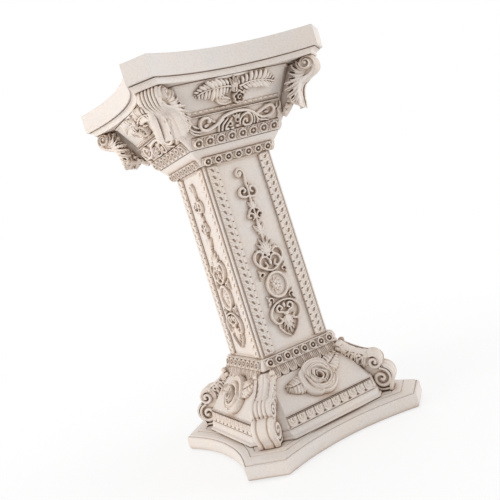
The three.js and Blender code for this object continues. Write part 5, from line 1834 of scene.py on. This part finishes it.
@dataclass
class Volutes(Part):
    """The ribbed scrolls under the top slab's corners, each with a leaf that falls to a beak."""

    half_width: float = 8.0
    side_rise: float = 2.8
    centre: tuple[float, float] = (90.4, 273.8)
    radius: float = 7.6
    web: float = 1.4
    flare: float = 0.42
    flare_from: float = 90.0
    drilled: tuple[tuple[float, float], ...] = ((-0.2, 0.68), (0.26, 0.7), (0.42, 0.77), (-0.36, 0.83),
        (0.1, 0.9))

    def outline(self) -> Array:
        """The front from under the slab down to the beak."""
        crown = math.degrees(math.asin((self.column.mould - BOND - self.centre[1]) / self.radius))
        tail = curve((92.6, 266.4), (87.6, 264.0), (83.0, 262.2), (80.6, 259), (79.4, 255), (79.0, 250),
            (79.0, 245), steps=34)
        return np.vstack([arc(self.centre, self.radius, crown, -70, 20), tail[1:]])

    def inner_edge(self) -> list[tuple[float, float]]:
        """The back of the scroll and its leaf, from the beak up to the slab."""
        return [(75.4, 248.0), (72.6, 250.4), (72.4, 254), (73.4, 259), (76, 262.6), (79.6, 265.6),
            (83, 269.4), (85.6, 274), (86.6, self.column.mould - BOND)]

    def front(self) -> Form:
        """The reeds under the slab, fading into the smooth leaf."""
        path = self.outline()
        width = np.interp(np.linspace(0, 1, len(path)), (0, 0.25, 0.42, 0.6, 0.84, 1),
            (8.2, 7.6, 5.6, 5.6, 5.0, 1.4))
        def section(s: Array, u: Array) -> Array:
            """Reeds that fade into a leaf with drilled hollows."""
            ribbed = np.clip(2.1 - 4.2 * s, 0, 1)
            leaf = 0.6 - 1.5 * u ** 2 + 0.4 * np.exp(-(u / 0.14) ** 2)
            for across, down in self.drilled:
                leaf = leaf - 1.3 * np.exp(-((u - across) / 0.09) ** 2 - ((s - down) / 0.022) ** 2)
            return ribbed * reeds(6, 1.3)(s, u) + (1 - ribbed) * leaf
        scroll = Strap(path, width, section, 2.0, fingers=10, fingers_from=0.38, notch=0.4, slant=1.3,
            vein=1.9, columns=61)
        tail = curve((75.0, 259), (72.2, 253), (67.6, 247.6), (62.4, 243.4), steps=22)
        spread = np.interp(np.linspace(0, 1, 22), (0, 0.4, 0.8, 1), (4.6, 6.8, 5.4, 2.0))
        skirt = Strap(tail, spread, lambda s, u: 0.5 - 1.2 * u ** 2 + 0.5 * np.exp(-(u / 0.14) ** 2), 2.2,
            fingers=4, notch=0.4, slant=0.9, vein=1.2)
        return joined([scroll.form(), skirt.form()])

    def side(self) -> Form:
        """The eye and the fingered leaf on a side."""
        relief = Relief((66, 243.5), (100, 280.0), rise=self.side_rise)
        ridge = [(79.3, 245), (79.2, 250), (79.8, 255), (81, 259), (83.4, 262), (88, 264), (93.4, 266.6),
            (96.6, 269.6), (97.6, 273.6), (96.8, 277.4), (95, 279.6)]
        relief.sheet([*ridge, *self.inner_edge()[::-1]], 0.5)
        for root, tip, width in (((89.6, 270.4), (84.2, 279.4), 4.2), ((88.8, 269.6), (80.0, 277.4), 4.4),
                ((88, 268.4), (76.6, 273.0), 4.6), ((86.4, 266.8), (75.6, 268.2), 4.4),
                ((84.6, 265.2), (71.6, 265.2), 4.6), ((82.8, 263), (70.6, 260.2), 4.4),
                ((81.2, 260), (70.8, 255.0), 4.2), ((80, 256), (72.4, 250.6), 3.8),
                ((79.4, 252), (75.4, 247.6), 3.0)):
            relief.leaf(root, tip, 1.15 * width, 1.15, lobes=1, bend=0.1, notch=0.06)
        relief.strands(2.2, 1, [(96, 270.4), (92.6, 267.6), (86, 264.8), (81.6, 261), (79.4, 254),
            (78.6, 247)], tip=0.7)
        for centre, radii, turn in (((82.6, 274.6), (2.6, 0.6), -50), ((79.6, 271.4), (2.8, 0.6), -28),
                ((78.4, 267.2), (2.6, 0.55), -8), ((76.2, 263.2), (2.8, 0.7), 6),
                ((75.4, 258.4), (2.6, 0.6), 22), ((75.4, 253.6), (2.2, 0.5), 34)):
            relief.cut(centre, radii, turn, 0.1)
        relief.boss((91.0, 275.0), (5.6, 4.8), 1.5)
        relief.strand(spiral((91.2, 274.6), (6.4, 3.8), (-20, 170), 26), 2.2, 1.5, 0.8)
        relief.strand(spiral((91.0, 275.2), (4.4, 1.7), (170, 520), 40), 1.8, 2.1, 0.8)
        relief.boss((91.0, 275.2), (1.8, 1.8), 2.2)
        return relief.form(1.6)

    def flared(self, form: Form) -> Form:
        """The form with its sides spreading towards the capital, as the leaves do."""
        inward = np.clip(self.flare_from - form.points[:, 0], 0, None)
        share = np.clip(form.points[:, 2] / (self.half_width - self.side_rise), -1, 1)
        return Form(form.points + np.outer(self.flare * inward * share, (0, 0, 1)), form.faces)

    def build(self) -> None:
        """Makes one bracket for each corner."""
        c, side = self.column, self.half_width - self.side_rise
        core = block(np.vstack([self.outline(), self.inner_edge()]), side)
        root = np.array([(66, c.mould - BOND), (60, c.scrolls.low.z + 12), (62, c.scrolls.low.z + 6),
            (73, 252), (78, 262), (88, c.mould - BOND)])
        form = joined(
            [self.flared(core), block(root, self.web), self.front(), self.flared(flanks(self.side(), side))])
        self.shop.on_corners("leaf_volute", form, "capital_volute")


# ------------------------------------------------------------------------------ feet and studio
class FootPads(Part):
    """The felt pads, which stay as the solids made them."""

    def build(self) -> None:
        """Gives each pad its felt."""
        for corner in Corner:
            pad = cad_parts[f"foot_pad_{corner.word}"]
            pad.data.materials.clear()
            pad.data.materials.append(self.shop.felt)
            log.info("%s: felt", pad.name)


@dataclass(frozen=True)
class Lamp:
    """A square soft light: where it stands, its size in metres, its power in watts and its tint."""

    name: str
    place: tuple[float, float, float]
    size: float
    power: float
    tint: Colour


@dataclass
class Studio:
    """The floor, the lights, the white surround and the camera."""

    camera_at: tuple[float, float, float] = (-0.22844, -0.48811, 0.18152)
    turn: tuple[float, float, float] = (1.51988614, -0.59684554, 0.10787156)
    focal_pixels: float = 657.9
    optical_centre: tuple[float, float] = (253.805, 251.809)
    frame_pixels: float = 500
    sensor: float = 36
    surround: float = 0.6
    aim: tuple[float, float, float] = (0, 0, 0.15)
    floor_radius: float = 6
    floor_sides: int = 96
    lamps: tuple[Lamp, ...] = (Lamp("key", (-1.5, 0.15, 0.5), 0.8, 11.5, (1.0, 0.975, 0.95)),
        Lamp("fill", (1.05, -0.8, 0.5), 0.6, 6.6, (0.96, 0.98, 1.0)),
        Lamp("back", (0.6, 1.2, 0.9), 1.0, 4.0, (1.0, 1.0, 1.0)))

    def build(self) -> None:
        """Sets up everything that isn't the object."""
        self.floor()
        self.lights()
        self.camera()
        bpy.context.scene.view_settings.view_transform = "Standard"

    def floor(self) -> None:
        """A wide disc under the feet."""
        mesh = bpy.data.meshes.new("floor")
        around = np.linspace(0, 2 * math.pi, self.floor_sides, endpoint=False)
        rim = [(self.floor_radius * math.cos(a), self.floor_radius * math.sin(a), 0) for a in around]
        mesh.from_pydata(rim, [], [tuple(range(self.floor_sides))])
        mesh.materials.append(FloorFinish().material())
        placed("floor", mesh)

    def lights(self) -> None:
        """A broad warm key from the upper left, a cooler fill from the front right, and a pale surround."""
        for lamp in self.lamps:
            light = bpy.data.lights.new(lamp.name, "AREA")
            light.size, light.energy, light.color = lamp.size, lamp.power, lamp.tint
            made = placed(lamp.name, light)
            made.location = lamp.place
            made.rotation_euler = (Vector(self.aim) - Vector(lamp.place)).to_track_quat("-Z", "Y").to_euler()
        world = bpy.data.worlds.new("surround")
        bpy.context.scene.world = world
        world.use_nodes = True
        nodes = Nodes(world.node_tree)
        soft, white = nodes.tree.nodes["Background"], nodes.node("ShaderNodeBackground")
        for background, level in ((soft, self.surround), (white, 1.0)):
            background.inputs["Color"].default_value = (1, 1, 1, 1)
            background.inputs["Strength"].default_value = level
        mix = nodes.node("ShaderNodeMixShader",
            {"Fac": nodes.seen_plainly(), 1: soft.outputs[0], 2: white.outputs[0]})
        nodes.tree.links.new(mix.outputs[0], nodes.tree.nodes["World Output"].inputs["Surface"])

    def camera(self) -> None:
        """The camera where the photograph was taken from, with its roll."""
        lens = bpy.data.cameras.new("camera")
        lens.sensor_width = self.sensor
        lens.lens = self.focal_pixels / self.frame_pixels * self.sensor
        middle = self.frame_pixels / 2
        lens.shift_x = (middle - self.optical_centre[0]) / self.frame_pixels
        lens.shift_y = (self.optical_centre[1] - middle) / self.frame_pixels
        made = placed("camera", lens)
        spin = Vector(self.turn)
        to_camera = Matrix.Rotation(spin.length, 3, spin.normalized())
        flip = Matrix(((1, 0, 0), (0, -1, 0), (0, 0, -1)))
        made.matrix_world = Matrix.Translation(self.camera_at) @ (to_camera.transposed() @ flip).to_4x4()
        bpy.context.scene.camera = made


def main() -> None:
    """Builds every sub-assembly in order, from the foot up."""
    logging.basicConfig(level=logging.INFO, format="%(message)s")
    Studio().build()
    shop, column = Workshop(), Column()
    for part in (FootPads, Plinth, BaseCourses, BaseFriezes, Roses, TongueCourse, Consoles, Shaft,
            LeafBorders, Candelabra, CapitalCourses, AcanthusFriezes, CableMouldings, PlumeSprays, Volutes,
            Abacus):
        part(shop, column).build()


if __name__ == "__main__":
    main()
